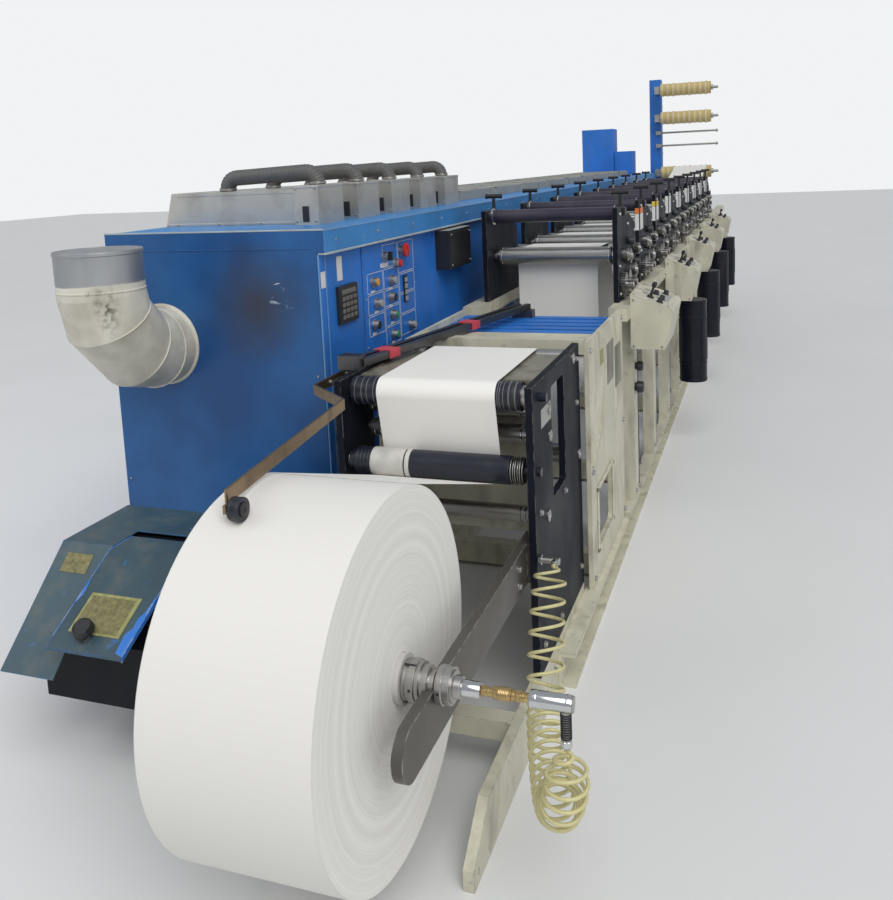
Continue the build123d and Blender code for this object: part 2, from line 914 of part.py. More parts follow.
pieces = {
    "base_rails": base_rails,
    "base_ties": base_ties,
    "unwind_toes": unwind_toes,
    "crossbar": crossbar,
    "infeed_plates": infeed_plates,
    "cradle_arms": cradle_arms,
    "infeed_idlers": infeed_idlers,
    "infeed_table": infeed_table,
    "infeed_back_panel": infeed_back_panel,
    "frame_crossbars": frame_crossbars,
    "blue_slats": blue_slats,
    "guide_bar": guide_bar,
    "frame_panels": frame_panels,
    "top_beams": top_beams,
    "columns": columns,
    "cabinet_ties": cabinet_ties,
    "station_plates_operator": station_plates_operator,
    "station_plates_gear": station_plates_gear,
    "cross_tubes": cross_tubes,
    "idler_rollers": idler_rollers,
    "impression_cylinders": impression_cylinders,
    "plate_cylinders": plate_cylinders,
    "anilox_rollers": anilox_rollers,
    "bearing_blocks": bearing_blocks,
    "adjuster_stems": adjuster_stems,
    "drive_gears": drive_gears,
    "web": web,
    "console_boxes": console_boxes,
    "control_knobs": control_knobs,
    "drums": drums,
    "lead_screws": lead_screws,
    "cabinet_plinth": cabinet_plinth,
    "cabinet_body": cabinet_body,
    "cabinet_cap": cabinet_cap,
    "control_panel": control_panel,
    "cabinet_boxes": cabinet_boxes,
    "push_buttons": push_buttons,
    "blower_housings": blower_housings,
    "blower_hoses": blower_hoses,
    "top_trays": top_trays,
    "exhaust_elbow": exhaust_elbow,
    "guard_body": guard_body,
    "guard_cover": guard_cover,
    "tower_column": tower_column,
    "tower_shafts": tower_shafts,
    "rewind_cores": rewind_cores,
    "tower_boxes": tower_boxes,
    "paper_roll": paper_roll,
    "roll_core": roll_core,
    "roll_shaft": roll_shaft,
    "quick_coupler": quick_coupler,
    "hose_fittings": hose_fittings,
    "top_roller": top_roller,
    "lower_roller": lower_roller,
    "follower_arm": follower_arm,
    "wheel_bracket": wheel_bracket,
    "follower_pivot": follower_pivot,
    "follower_wheel": follower_wheel,
}
boxes = [piece.part.bounding_box() for piece in pieces.values()]
centre_x = (min(box.min.X for box in boxes) + max(box.max.X for box in boxes)) / 2
centre_y = (min(box.min.Y for box in boxes) + max(box.max.Y for box in boxes)) / 2
pieces["air_hose"] = air_hose
print("origin", centre_x, centre_y, "height", max(box.max.Z for box in boxes), "parts", len(pieces))
for label, piece in pieces.items():
    placed = piece.part.moved(Location((-centre_x, -centre_y, 0)))
    placed.label = label
    export_step(placed, "parts/" + label + ".step")
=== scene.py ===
import bmesh
import bpy
from itertools import product
from math import cos, pi, radians, sin, tan
from mathutils import Matrix, Vector


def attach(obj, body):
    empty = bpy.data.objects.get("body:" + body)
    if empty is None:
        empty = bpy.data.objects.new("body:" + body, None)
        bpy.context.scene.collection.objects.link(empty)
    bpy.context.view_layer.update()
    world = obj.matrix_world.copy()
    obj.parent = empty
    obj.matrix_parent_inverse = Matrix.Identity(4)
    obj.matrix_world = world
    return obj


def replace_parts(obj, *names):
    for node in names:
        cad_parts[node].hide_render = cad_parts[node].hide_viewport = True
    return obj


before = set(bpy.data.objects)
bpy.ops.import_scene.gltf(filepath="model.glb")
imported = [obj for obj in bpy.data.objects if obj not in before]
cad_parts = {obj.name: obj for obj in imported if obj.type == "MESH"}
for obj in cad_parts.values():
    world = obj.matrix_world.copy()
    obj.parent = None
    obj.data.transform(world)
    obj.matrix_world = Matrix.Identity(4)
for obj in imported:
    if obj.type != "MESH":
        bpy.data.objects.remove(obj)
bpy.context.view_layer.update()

# Places are measured in metres from the web centreline, the supply-roll axis and the floor
datum = Vector((0.311, -4.378, 0.0))
roll_height = 0.487
cabinet_side, cabinet_back = -0.4, -1.14
panel_front, box_front = cabinet_side + 0.005, cabinet_side + 0.062
plate_face, panel_face, column_face = 0.272, 0.302, 0.322
across, forward, upward = Vector((1, 0, 0)), Vector((0, -1, 0)), Vector((0, 0, 1))
both_sides = (-1, 1)
small_bolt, plate_bolt, frame_bolt, rail_bolt = 0.006, 0.0065, 0.0075, 0.008
panel_screw, door_screw = 0.0035, 0.004


def unit(x, y, z):
    return Vector((x, y, z)).normalized()


def spaced(first, pitch, count):
    """Evenly spaced places."""
    return [first + pitch * n for n in range(count)]


station_starts = spaced(2.03, 0.614, 9)
console_starts = spaced(1.98, 1.228, 5)
console_rise = (0.052, 0, 0.15)
blower_starts = spaced(1.155, 0.3, 5)
tray_starts = spaced(2.695, 0.614, 9)
# The infeed idlers as (y, z, radius)
infeed_idlers = ((0.817, 0.804, 0.028), (0.822, 0.729, 0.026), (0.782, 0.521, 0.022))


def place(x, y, z):
    """A point given from the machine's own datum, in the frame of the CAD."""
    return datum + Vector((x, y, z))


# Camera
yaw, pitch, tilt = radians(19.725), radians(-7.831), radians(-2.558)
focal_px, image_width, image_height = 919.93, 893, 900
centre_px = (445.84, 293.92)
look = Vector((-sin(yaw) * cos(pitch), cos(yaw) * cos(pitch), sin(pitch)))
level = Vector((cos(yaw), sin(yaw), 0))
upright = level.cross(look)
right = cos(tilt) * level + sin(tilt) * upright
up = -sin(tilt) * level + cos(tilt) * upright
camera_data = bpy.data.cameras.new("camera")
camera_data.sensor_fit = "HORIZONTAL"
camera_data.sensor_width = 36
camera_data.lens = focal_px / image_width * camera_data.sensor_width
camera_data.shift_x = (image_width / 2 - centre_px[0]) / image_width
camera_data.shift_y = (centre_px[1] - image_height / 2) / image_width
camera_data.clip_end = 60
camera = bpy.data.objects.new("camera", camera_data)
facing = Matrix((right, up, -look)).transposed().to_4x4()
camera.matrix_world = Matrix.Translation(place(0.831, -1.507, 1.45)) @ facing
bpy.context.collection.objects.link(camera)
bpy.context.scene.camera = camera


# Shader helpers

def add(tree, kind, inputs=None, **settings):
    """A node with its settings, its plain values and its links."""
    made = tree.nodes.new("ShaderNode" + kind)
    for key, value in settings.items():
        setattr(made, key, value)
    for key, value in (inputs or {}).items():
        if isinstance(value, bpy.types.NodeSocket):
            tree.links.new(value, made.inputs[key])
        else:
            made.inputs[key].default_value = value
    return made


def rgba(color):
    return (*color, 1)


def shade(color, share):
    return tuple(channel * share for channel in color)


def position(tree):
    """Places on the object, in metres."""
    return add(tree, "TexCoord").outputs["Object"]


def noise(tree, scale, detail=4, stretch=(1, 1, 1)):
    mapping = add(tree, "Mapping", {"Vector": position(tree), "Scale": stretch})
    made = add(tree, "TexNoise", {"Vector": mapping.outputs[0], "Scale": scale, "Detail": detail})
    return made.outputs["Fac"]


def span(tree, value, low, high, to_low=0, to_high=1):
    made = add(tree, "MapRange", {"Value": value, "From Min": low, "From Max": high,
                                  "To Min": to_low, "To Max": to_high})
    return made.outputs[0]


def calc(tree, operation, first, second=0):
    return add(tree, "Math", {0: first, 1: second}, operation=operation).outputs[0]


def times(tree, first, second):
    return calc(tree, "MULTIPLY", first, second)


def vector(tree, operation, *inputs):
    """A vector, or one value such as a length."""
    made = add(tree, "VectorMath", dict(enumerate(inputs)), operation=operation)
    return made.outputs["Value" if operation in ("DISTANCE", "DOT_PRODUCT", "LENGTH") else "Vector"]


def mix(tree, factor, first, second):
    inputs = {"Factor": factor, 6: first if not isinstance(first, tuple) else rgba(first),
              7: second if not isinstance(second, tuple) else rgba(second)}
    return add(tree, "Mix", inputs, data_type="RGBA").outputs[2]


def blank_look(name, metallic=0.0):
    """A new material with its node tree and its shader."""
    material = bpy.data.materials.new(name)
    material.use_nodes = True
    tree = material.node_tree
    shader = tree.nodes["Principled BSDF"]
    shader.inputs["Metallic"].default_value = metallic
    return material, tree, shader


def finish(tree, shader, color, roughness, height, depth, round_edge=0.002):
    """Joins colour, roughness and relief to the shader, with softly rounded edges."""
    tree.links.new(color, shader.inputs["Base Color"])
    tree.links.new(roughness, shader.inputs["Roughness"])
    soft = add(tree, "Bevel", {"Radius": round_edge}, samples=4).outputs[0]
    relief = add(tree, "Bump", {"Height": height, "Distance": depth, "Normal": soft})
    tree.links.new(relief.outputs[0], shader.inputs["Normal"])


def edges(tree, radius):
    """One on sharp outer edges and nought on flat faces."""
    soft = add(tree, "Bevel", {"Radius": radius}, samples=4).outputs[0]
    flat = add(tree, "NewGeometry").outputs["Normal"]
    return span(tree, vector(tree, "DOT_PRODUCT", soft, flat), 0.985, 0.8)


def paint(name, color, bare=(0.32, 0.31, 0.29), dirt=(0.09, 0.08, 0.07), grime=0.35, wear=0.6,
          rough=0.42, scale=5.0, chips=0.0, shine=0.5):
    """Old machine paint: uneven colour, grime in clouds and streaks, and edges worn bare."""
    material, tree, shader = blank_look(name)
    cloud = noise(tree, scale, 6)
    streak = noise(tree, scale * 3, 3, (1, 1, 0.3))
    fine = noise(tree, 160, 2)
    tone = mix(tree, span(tree, cloud, 0.35, 0.65), shade(color, 0.86), shade(color, 1.12))
    dirty = times(tree, span(tree, calc(tree, "ADD", cloud, streak), 1.0, 1.35), grime)
    soiled = mix(tree, dirty, tone, dirt)
    edge = times(tree, edges(tree, 0.004), span(tree, noise(tree, 45, 5), 0.42, 0.6, 0, wear))
    spots = times(tree, span(tree, noise(tree, 30, 6), 0.66, 0.69), chips)
    worn = mix(tree, calc(tree, "MAXIMUM", edge, spots), soiled, bare)
    shader.inputs["Specular IOR Level"].default_value = shine
    roughness = span(tree, cloud, 0.3, 0.7, rough - 0.08, rough + 0.14)
    finish(tree, shader, worn, roughness, fine, 0.0002)
    return material


def metal(name, color, rough=0.3, grain=(0.05, 1, 1), stain=(0.16, 0.13, 0.1), stained=0.3, scale=8.0):
    """Bare metal with fine turning or brushing marks and dull stains."""
    material, tree, shader = blank_look(name, 1.0)
    cloud = noise(tree, scale, 6)
    brushed = noise(tree, 260, 2, grain)
    tone = mix(tree, brushed, shade(color, 0.82), color)
    dull = times(tree, span(tree, cloud, 0.5, 0.72), stained)
    stained_color = mix(tree, dull, tone, stain)
    turned_marks = span(tree, brushed, 0.2, 0.8, rough - 0.06, rough + 0.08)
    roughness = calc(tree, "ADD", turned_marks, times(tree, dull, 0.3))
    finish(tree, shader, stained_color, roughness, brushed, 0.0001, 0.0012)
    return material


def plain(name, color, rough=0.5, scale=20.0, vary=0.15, depth=0.0003):
    """Moulded plastic, rubber, board or paper with slight unevenness."""
    material, tree, shader = blank_look(name)
    cloud = noise(tree, scale, 5)
    fine = noise(tree, scale * 14, 2)
    tone = mix(tree, cloud, shade(color, 1 - vary), shade(color, 1 + vary))
    roughness = span(tree, cloud, 0.3, 0.7, rough - 0.06, rough + 0.08)
    finish(tree, shader, tone, roughness, fine, depth, 0.0015)
    return material


# Materials
blue = paint("cabinet_blue", (0.018, 0.178, 0.62), grime=0.25, wear=0.5)
cap_blue = paint("cap_blue", (0.035, 0.23, 0.56), grime=0.3, wear=0.8, chips=0.5)
bright_blue = paint("bright_blue", (0.03, 0.19, 0.64), bare=(0.4, 0.46, 0.52), grime=0.3, wear=1.0, chips=0.7)
# Lighter blue for the corner, the fold and the cap's top edge: painted highlight on the cabinet's blue.
pale_highlight_blue = paint("pale_highlight_blue", (0.12, 0.33, 0.64), grime=0.4, wear=0.6, chips=0.4)
guard_blue = paint("guard_blue", (0.042, 0.082, 0.105), bare=(0.03, 0.19, 0.56), dirt=(0.105, 0.118, 0.112),
                   grime=0.85, wear=0.9, chips=0.35, scale=7.0)
# Near-black for the guard's box: painted shade under the guard's lip, darker than the black parts.
shaded_guard_dark = paint("shaded_guard_dark", (0.004, 0.005, 0.009), dirt=(0.02, 0.02, 0.02),
                   grime=0.5, wear=0.3, shine=0.2)
# Pale grey-blue for the strips along the cap's top edges: painted highlight where the edges catch the light,
# with worn paint and grime.
worn_lit_edge = paint("worn_lit_edge", (0.4, 0.47, 0.5), bare=(0.5, 0.44, 0.34), dirt=(0.36, 0.3, 0.22),
                  grime=0.9, wear=0.8)
cream = paint("cream_paint", (0.6, 0.575, 0.45), bare=(0.17, 0.14, 0.1), dirt=(0.15, 0.13, 0.09),
              grime=0.6, wear=0.75, chips=0.3, scale=6.0)
navy = paint("navy_plate", (0.006, 0.008, 0.016), bare=(0.3, 0.26, 0.2), dirt=(0.03, 0.03, 0.034),
             grime=0.4, wear=0.8, rough=0.48, shine=0.14)
drum_black = paint("drum_black", (0.007, 0.008, 0.016), bare=(0.1, 0.1, 0.11), dirt=(0.03, 0.028, 0.026),
                   grime=0.4, wear=0.5, rough=0.34, shine=0.25)
olive = paint("olive_table", (0.23, 0.22, 0.175), dirt=(0.06, 0.055, 0.04), grime=0.8, wear=0.6)
tray_grey = paint("tray_grey", (0.33, 0.33, 0.3), grime=0.6, wear=0.6)
arm_paint = paint("arm_paint", (0.075, 0.07, 0.06), bare=(0.42, 0.4, 0.36), grime=0.5, wear=1.0, rough=0.36)
tube_paint = paint("tube_paint", (0.03, 0.026, 0.045), bare=(0.36, 0.34, 0.34),
                   grime=0.3, wear=0.6, rough=0.28)
steel = metal("bare_steel", (0.5, 0.49, 0.47), 0.32)
dark_steel = metal("dark_steel", (0.16, 0.16, 0.17), 0.38, stained=0.5)
oily_steel = metal("oily_steel", (0.34, 0.335, 0.32), 0.26, stain=(0.02, 0.018, 0.015),
                   stained=0.95, scale=24.0)
satin_roller = metal("satin_roller", (0.44, 0.44, 0.42), 0.3, stained=0.35)
chrome = metal("chrome", (0.72, 0.73, 0.74), 0.14, stained=0.12)
stainless = metal("stainless", (0.76, 0.73, 0.67), 0.42, grain=(1, 0.05, 1),
                  stain=(0.3, 0.27, 0.22), stained=0.5)
brass = metal("brass", (0.68, 0.49, 0.22), 0.25, stained=0.2)
bronze_bar = metal("bronze_bar", (0.36, 0.26, 0.16), 0.42, stained=0.6, scale=20)
black_plastic = plain("black_plastic", (0.018, 0.018, 0.02), 0.4)
black_rubber = plain("black_rubber", (0.011, 0.013, 0.024), 0.34)
plate_rubber = plain("plate_rubber", (0.24, 0.06, 0.05), 0.45)
sleeve_grey = plain("sleeve_grey", (0.52, 0.51, 0.47), 0.5, 30, 0.35)
duct_black = plain("duct_black", (0.05, 0.045, 0.04), 0.55)
duct_grey = plain("duct_grey", (0.11, 0.108, 0.105), 0.5, 30, 0.25)
board = plain("core_board", (0.48, 0.47, 0.44), 0.75)
yellow_core = plain("yellow_core", (0.56, 0.42, 0.17), 0.6)
wound_strip = plain("wound_strip", (0.64, 0.56, 0.33), 0.65, 40, 0.2)
hose_plastic = plain("hose_plastic", (0.6, 0.55, 0.28), 0.28, 60, 0.1)
paper = plain("web_paper", (0.83, 0.81, 0.76), 0.62, 3, 0.02, 0.0001)
red_tape = plain("red_tape", (0.56, 0.06, 0.08), 0.55, 60, 0.3)
key_grey = plain("key_grey", (0.15, 0.14, 0.12), 0.5, 140, 0.6)
smoky_label = plain("smoky_label", (0.185, 0.17, 0.07), 0.5, 90, 0.9)
aged_label = plain("aged_label", (0.3, 0.29, 0.11), 0.5, 60, 0.5)
warm_label = plain("warm_label", (0.74, 0.52, 0.06), 0.45, 80, 0.15)
orange_label = plain("orange_label", (0.75, 0.18, 0.03), 0.45, 80, 0.15)
label_grey = plain("label_grey", (0.36, 0.36, 0.34), 0.45, 80, 0.25)
label_white = plain("label_white", (0.7, 0.7, 0.69), 0.45, 80, 0.1)
red_button = plain("red_button", (0.52, 0.02, 0.02), 0.3, 40, 0.1)
amber_button = plain("amber_button", (0.7, 0.33, 0.03), 0.3, 40, 0.1)
green_button = plain("green_button", (0.03, 0.28, 0.11), 0.3, 40, 0.1)


def duct_skin():
    """Whitish old paint on the elbow, with a stain, that ends below bare galvanised pipe."""
    material, tree, shader = blank_look("duct_skin")
    cloud = noise(tree, 9, 6)
    fine = noise(tree, 120, 3)
    height = add(tree, "SeparateXYZ", {0: position(tree)}).outputs["Z"]
    bare = span(tree, calc(tree, "ADD", height, times(tree, cloud, 0.02)), 1.182, 1.186)
    painted = mix(tree, span(tree, cloud, 0.35, 0.7), (0.48, 0.45, 0.36), (0.76, 0.73, 0.63))
    offset = vector(tree, "SUBTRACT", position(tree), place(-0.868, 0.5, 1.105))
    apart = vector(tree, "LENGTH", vector(tree, "MULTIPLY", offset, (1.9, 1.0, 0.62)))
    patchy = span(tree, noise(tree, 60, 4), 0.45, 0.62, 0.1, 0.9)
    stained = mix(tree, times(tree, span(tree, apart, 0.06, 0.01), patchy), painted, (0.06, 0.05, 0.035))
    zinc = mix(tree, noise(tree, 14, 4, (1, 1, 0.2)), (0.33, 0.335, 0.345), (0.56, 0.57, 0.58))
    color = mix(tree, bare, stained, zinc)
    tree.links.new(times(tree, bare, 0.85), shader.inputs["Metallic"])
    finish(tree, shader, color, span(tree, cloud, 0.3, 0.7, 0.38, 0.55), fine, 0.0003)
    return material


def sooty_shaded_end():
    """The dark blue end sheet, the cabinet's blue darkened as painted shade, with a soot smudge, a few
    scratches and a hazy patch.
    """
    material, tree, shader = blank_look("sooty_shaded_end")
    cloud = noise(tree, 3.5, 6)
    fine = noise(tree, 160, 2)
    # Painted shade: the end sheet's tone is the cabinet's blue darkened to about a third to a half of its
    # brightness.
    tone = mix(tree, span(tree, cloud, 0.35, 0.65), (0.006, 0.062, 0.21), (0.016, 0.115, 0.33))
    apart = vector(tree, "DISTANCE", position(tree), place(-0.6, 0.848, 1.075))
    ragged = calc(tree, "ADD", apart, times(tree, cloud, 0.12))
    sooted = mix(tree, times(tree, span(tree, ragged, 0.25, 0.07), 0.82), tone, (0.036, 0.032, 0.03))
    scratch = noise(tree, 26, 2, (1, 1, 3.2))
    near = vector(tree, "DISTANCE", position(tree), place(-0.525, 0.848, 1.11))
    marks = times(tree, span(tree, near, 0.06, 0.03), span(tree, scratch, 0.6, 0.64))
    color = mix(tree, marks, sooted, (0.42, 0.5, 0.58))
    finish(tree, shader, color, span(tree, cloud, 0.3, 0.7, 0.34, 0.5), fine, 0.0002)
    return material


def roll_paper():
    """Wound paper: faint rings on the cut ends and a smooth outside."""
    material, tree, shader = blank_look("wound_paper")
    axis = place(0, 0, roll_height)
    split = add(tree, "SeparateXYZ", {0: vector(tree, "SUBTRACT", position(tree), (0, axis.y, axis.z))})
    flat = add(tree, "CombineXYZ", {"Y": split.outputs["Y"], "Z": split.outputs["Z"]})
    reach = vector(tree, "LENGTH", flat.outputs[0])
    ring_noise = [add(tree, "TexNoise", {"W": reach, "Scale": scale, "Detail": detail}, noise_dimensions="1D")
                  for scale, detail in ((420.0, 3.0), (55.0, 2.0))]
    shares = [times(tree, made.outputs["Fac"], share) for made, share in zip(ring_noise, (0.6, 0.4))]
    rings = calc(tree, "ADD", *shares)
    tone = mix(tree, span(tree, rings, 0.35, 0.65), (0.735, 0.715, 0.67), (0.85, 0.835, 0.795))
    cloudy = mix(tree, span(tree, noise(tree, 2.5, 3), 0.4, 0.7, 0, 0.25), tone, (0.8, 0.78, 0.735))
    finish(tree, shader, cloudy, span(tree, rings, 0, 1, 0.6, 0.75), rings, 0.0012, 0.003)
    return material


wound_paper, duct_look, shaded_end_look = roll_paper(), duct_skin(), sooty_shaded_end()

node_looks = {
    cream: ["base_rails", "base_ties", "unwind_toes", "crossbar", "infeed_back_panel", "frame_panels",
            "top_beams", "columns", "console_boxes", "frame_crossbars"],
    navy: ["infeed_plates", "station_plates_operator", "station_plates_gear"],
    arm_paint: ["cradle_arms"],
    tube_paint: ["cross_tubes"],
    oily_steel: ["bearing_blocks", "drive_gears"],
    steel: ["infeed_idlers", "impression_cylinders", "tower_shafts", "roll_shaft",
            "hose_fittings", "follower_pivot"],
    satin_roller: ["idler_rollers"],
    chrome: ["anilox_rollers"],
    drum_black: ["drums"],
    dark_steel: ["guide_bar", "lead_screws", "cabinet_plinth", "guard_body"],
    olive: ["infeed_table"],
    blue: ["blue_slats", "cabinet_body", "control_panel", "cabinet_ties", "tower_column", "tower_boxes"],
    cap_blue: ["cabinet_cap"],
    guard_blue: ["guard_cover"],
    black_plastic: ["adjuster_stems", "control_knobs", "cabinet_boxes", "push_buttons"],
    black_rubber: ["top_roller", "lower_roller", "follower_wheel"],
    plate_rubber: ["plate_cylinders"],
    stainless: ["blower_housings"],
    duct_black: ["blower_hoses"],
    tray_grey: ["top_trays"],
    duct_look: ["exhaust_elbow"],
    yellow_core: ["rewind_cores"],
    board: ["roll_core"],
    brass: ["quick_coupler"],
    bronze_bar: ["follower_arm", "wheel_bracket"],
    paper: ["web"],
    wound_paper: ["paper_roll"],
}
for material, names in node_looks.items():
    for name in names:
        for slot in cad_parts[name].material_slots:
            slot.material = material


# Mesh helpers

def piece(name, points, faces, material, body="root"):
    """A smooth mesh object of the press that rides on one body."""
    mesh = bpy.data.meshes.new(name)
    mesh.from_pydata([tuple(point) for point in points], [], faces)
    mesh.materials.append(material)
    mesh.validate()
    mesh.polygons.foreach_set("use_smooth", [True] * len(mesh.polygons))
    made = bpy.data.objects.new(name, mesh)
    bpy.context.collection.objects.link(made)
    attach(made, body)
    return made


def shapes(count):
    """Empty shapes, each a list of points and a list of faces."""
    return [([], []) for n in range(count)]


def circle(centre, side, other, radius, sides, shift=0):
    """A loop of points round a centre, in the plane of two directions."""
    angles = [2 * pi * (step + shift) / sides for step in range(sides)]
    return [centre + radius * (cos(angle) * side + sin(angle) * other) for angle in angles]


def skin(shape, *loops):
    """Faces between loops that have as many points, closed at both ends."""
    points, faces = shape
    base, count = len(points), len(loops[0])
    for loop in loops:
        points.extend(loop)
    for low in range(base, len(points) - count, count):
        for n in range(count):
            after = (n + 1) % count
            faces.append([low + n, low + after, low + count + after, low + count + n])
    faces.append([base + n for n in reversed(range(count))])
    faces.append([len(points) - count + n for n in range(count)])


def tube(shape, path, radii, sides):
    """A hose along a path, with one radius for each point of it."""
    side = (path[1] - path[0]).orthogonal().normalized()
    loops = []
    for index, (centre, radius) in enumerate(zip(path, radii)):
        ahead = (path[min(index + 1, len(path) - 1)] - path[max(index - 1, 0)]).normalized()
        side = (side - ahead * side.dot(ahead)).normalized()
        loops.append(circle(centre, side, ahead.cross(side), radius, sides))
    skin(shape, *loops)


# Air hose: a coiled hose whose turns follow the route of its CAD tube

hose_route = [
    (0.318, 0.64, 0.45),
    (0.318, 0.585, 0.45),
    (0.336, 0.48, 0.412),
    (0.37, 0.305, 0.332),
    (0.409, 0.16, 0.272),
    (0.446, 0.05, 0.24),
    (0.47, 0.004, 0.276),
    (0.484, -0.006, 0.334),
    (0.484, 0.0, 0.376),
    (0.484, 0.0, 0.402),
]
hose_diameter = 0.008
coil_reach = 0.039
loose_turns, dense_turns = 7, 17
loose_share = 0.5


def route_points(route):
    """Points of a smooth spline that has the route's points as its controls."""
    curve = bpy.data.curves.new("hose_line", "CURVE")
    curve.dimensions = "3D"
    curve.resolution_u = 24
    spline = curve.splines.new("NURBS")
    spline.points.add(len(route) - 1)
    for control, spot in zip(spline.points, route):
        control.co = (*place(*spot), 1)
    spline.order_u = 3
    spline.use_endpoint_u = True
    holder = bpy.data.objects.new("hose_line", curve)
    line = bpy.data.meshes.new_from_object(holder)
    points = [vertex.co.copy() for vertex in line.vertices]
    bpy.data.objects.remove(holder)
    return points


def along(points, steps):
    """Even steps along a line of points."""
    lengths = [0.0]
    for first, last in zip(points, points[1:]):
        lengths.append(lengths[-1] + (last - first).length)
    spots, index = [], 0
    for step in range(steps + 1):
        wanted = lengths[-1] * step / steps
        while index < len(points) - 2 and lengths[index + 1] < wanted:
            index += 1
        share = (wanted - lengths[index]) / (lengths[index + 1] - lengths[index])
        spots.append(points[index].lerp(points[index + 1], share))
    return spots


sag_axis = Vector((0.097, -0.41, -0.907))


def coil_path(route):
    """The hose's own centre line, wound round the route, loose at first and then close."""
    steps = 900
    spots = along(route_points(route), steps)
    side = (spots[1] - spots[0]).orthogonal().normalized()
    path = []
    for step, spot in enumerate(spots):
        share = step / steps
        ahead = (spots[min(step + 1, steps)] - spots[max(step - 1, 0)]).normalized()
        sag = max(0, min(1, (loose_share * 1.2 - share) / (loose_share * 0.4)))
        ahead = ahead.lerp(sag_axis, sag).normalized()
        side = (side - ahead * side.dot(ahead)).normalized()
        other = ahead.cross(side)
        if share < loose_share:
            turns = loose_turns * share / loose_share
        else:
            turns = loose_turns + dense_turns * (share - loose_share) / (1 - loose_share)
        lead = min(1, share / 0.07, (1 - share) / 0.06)
        reach = coil_reach * lead * lead * (3 - 2 * lead)
        angle = 2 * pi * turns
        path.append(spot + reach * (cos(angle) * side + sin(angle) * other))
    return path


hose_path = coil_path(hose_route)
hose_shape, = shapes(1)
tube(hose_shape, hose_path, [hose_diameter / 2] * len(hose_path), 8)
hose = piece("curly_air_hose", *hose_shape, hose_plastic)
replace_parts(hose, "air_hose")


# Detail shapes, drawn from the machine's own datum

def slab(shape, low, high, edge=0.001):
    """A chamfered block between two corners."""
    points, faces = shape
    base = len(points)
    edge = min([edge] + [0.4 * (last - first) for first, last in zip(low, high)])
    for corner in product((0, 1), repeat=3):
        for axis in range(3):
            inset = [0 if n == axis else edge * (1 - 2 * corner[n]) for n in range(3)]
            points.append(Vector([(low, high)[corner[n]][n] + inset[n] for n in range(3)]))

    def index(axis, sign, u, v, face):
        corner = [0, 0, 0]
        corner[axis], corner[(axis + 1) % 3], corner[(axis + 2) % 3] = sign, u, v
        return base + 3 * (corner[0] * 4 + corner[1] * 2 + corner[2]) + face

    square = ((0, 0), (1, 0), (1, 1), (0, 1))
    for axis in range(3):
        first, last = (axis + 1) % 3, (axis + 2) % 3
        for sign in (0, 1):
            faces.append([index(axis, sign, u, v, axis) for u, v in square])
        for u, v in square:
            faces.append([index(axis, sign, u, v, face)
                          for sign, face in ((0, first), (1, first), (1, last), (0, last))])
    faces.extend([base + 3 * n, base + 3 * n + 1, base + 3 * n + 2] for n in range(8))


def sheet_fold(shape, outline, x0, x1):
    """A solid of one (y, z) outline between two places across the press."""
    skin(shape, *[[Vector((x, y, z)) for y, z in outline] for x in (x0, x1)])


def turned(shape, origin, axis, profile, sides=24):
    """A turned piece of (along, radius) pairs round an axis."""
    origin, axis = Vector(origin), Vector(axis).normalized()
    side = axis.orthogonal().normalized()
    other = axis.cross(side)
    skin(shape, *[circle(origin + axis * reach, side, other, radius, sides, 0.5)
                  for reach, radius in profile])


def ring(shape, origin, axis, radius, start, end, rise=0.001, sides=32):
    """A chamfered band round a bar."""
    edge = min(0.0015, (end - start) / 4)
    turned(shape, origin, axis, ((start, radius), (start + edge, radius + rise),
                                 (end - edge, radius + rise), (end, radius)), sides)


def rings(shape, origin, axis, radius, starts, width, rise=0.001, sides=32):
    """Equal bands round one bar."""
    for start in starts:
        ring(shape, origin, axis, radius, start, start + width, rise, sides)


def bolt(shape, spot, axis, size=0.007):
    """A hexagon head on its washer."""
    turned(shape, spot, axis, ((0, size * 1.25), (size * 0.2, size * 1.25)), 16)
    turned(shape, spot, axis, ((size * 0.2, size), (size * 0.8, size), (size, size * 0.86)), 6)


def cap_screw(shape, spot, axis, size=0.005):
    """A round head with a hollow."""
    turned(shape, spot, axis, ((0, size), (size * 0.8, size), (size, size * 0.88), (size, size * 0.5),
                               (size * 0.4, size * 0.45)), 12)


def knob(shape, spot, axis, radius=0.016, rise=0.022):
    """A moulded knob with a grooved skirt."""
    outline = ((0, 0.7), (0.2, 0.72), (0.25, 1), (0.85, 0.95), (1, 0.8), (0.96, 0.5))
    turned(shape, spot, axis, [(rise * along_share, radius * share) for along_share, share in outline], 20)


def fix(fitting, shape, xs, ys, zs, axis, *sizes):
    """The same fitting at every place of a grid."""
    for spot in product(xs, ys, zs):
        fitting(shape, spot, axis, *sizes)


def detail(name, shape, material, body="root"):
    """One mesh object from a shape, with smooth round faces and crisp edges."""
    points, faces = shape
    made = piece(name, [datum + point for point in points], faces, material, body)
    work = bmesh.new()
    work.from_mesh(made.data)
    bmesh.ops.recalc_face_normals(work, faces=work.faces)
    work.to_mesh(made.data)
    work.free()
    made.data.set_sharp_from_angle(angle=radians(32))
    return made


def details(looks, body="root"):
    """A mesh object for each name, from its shape and its material."""
    for name, (shape, material) in looks.items():
        detail(name, shape, material, body)


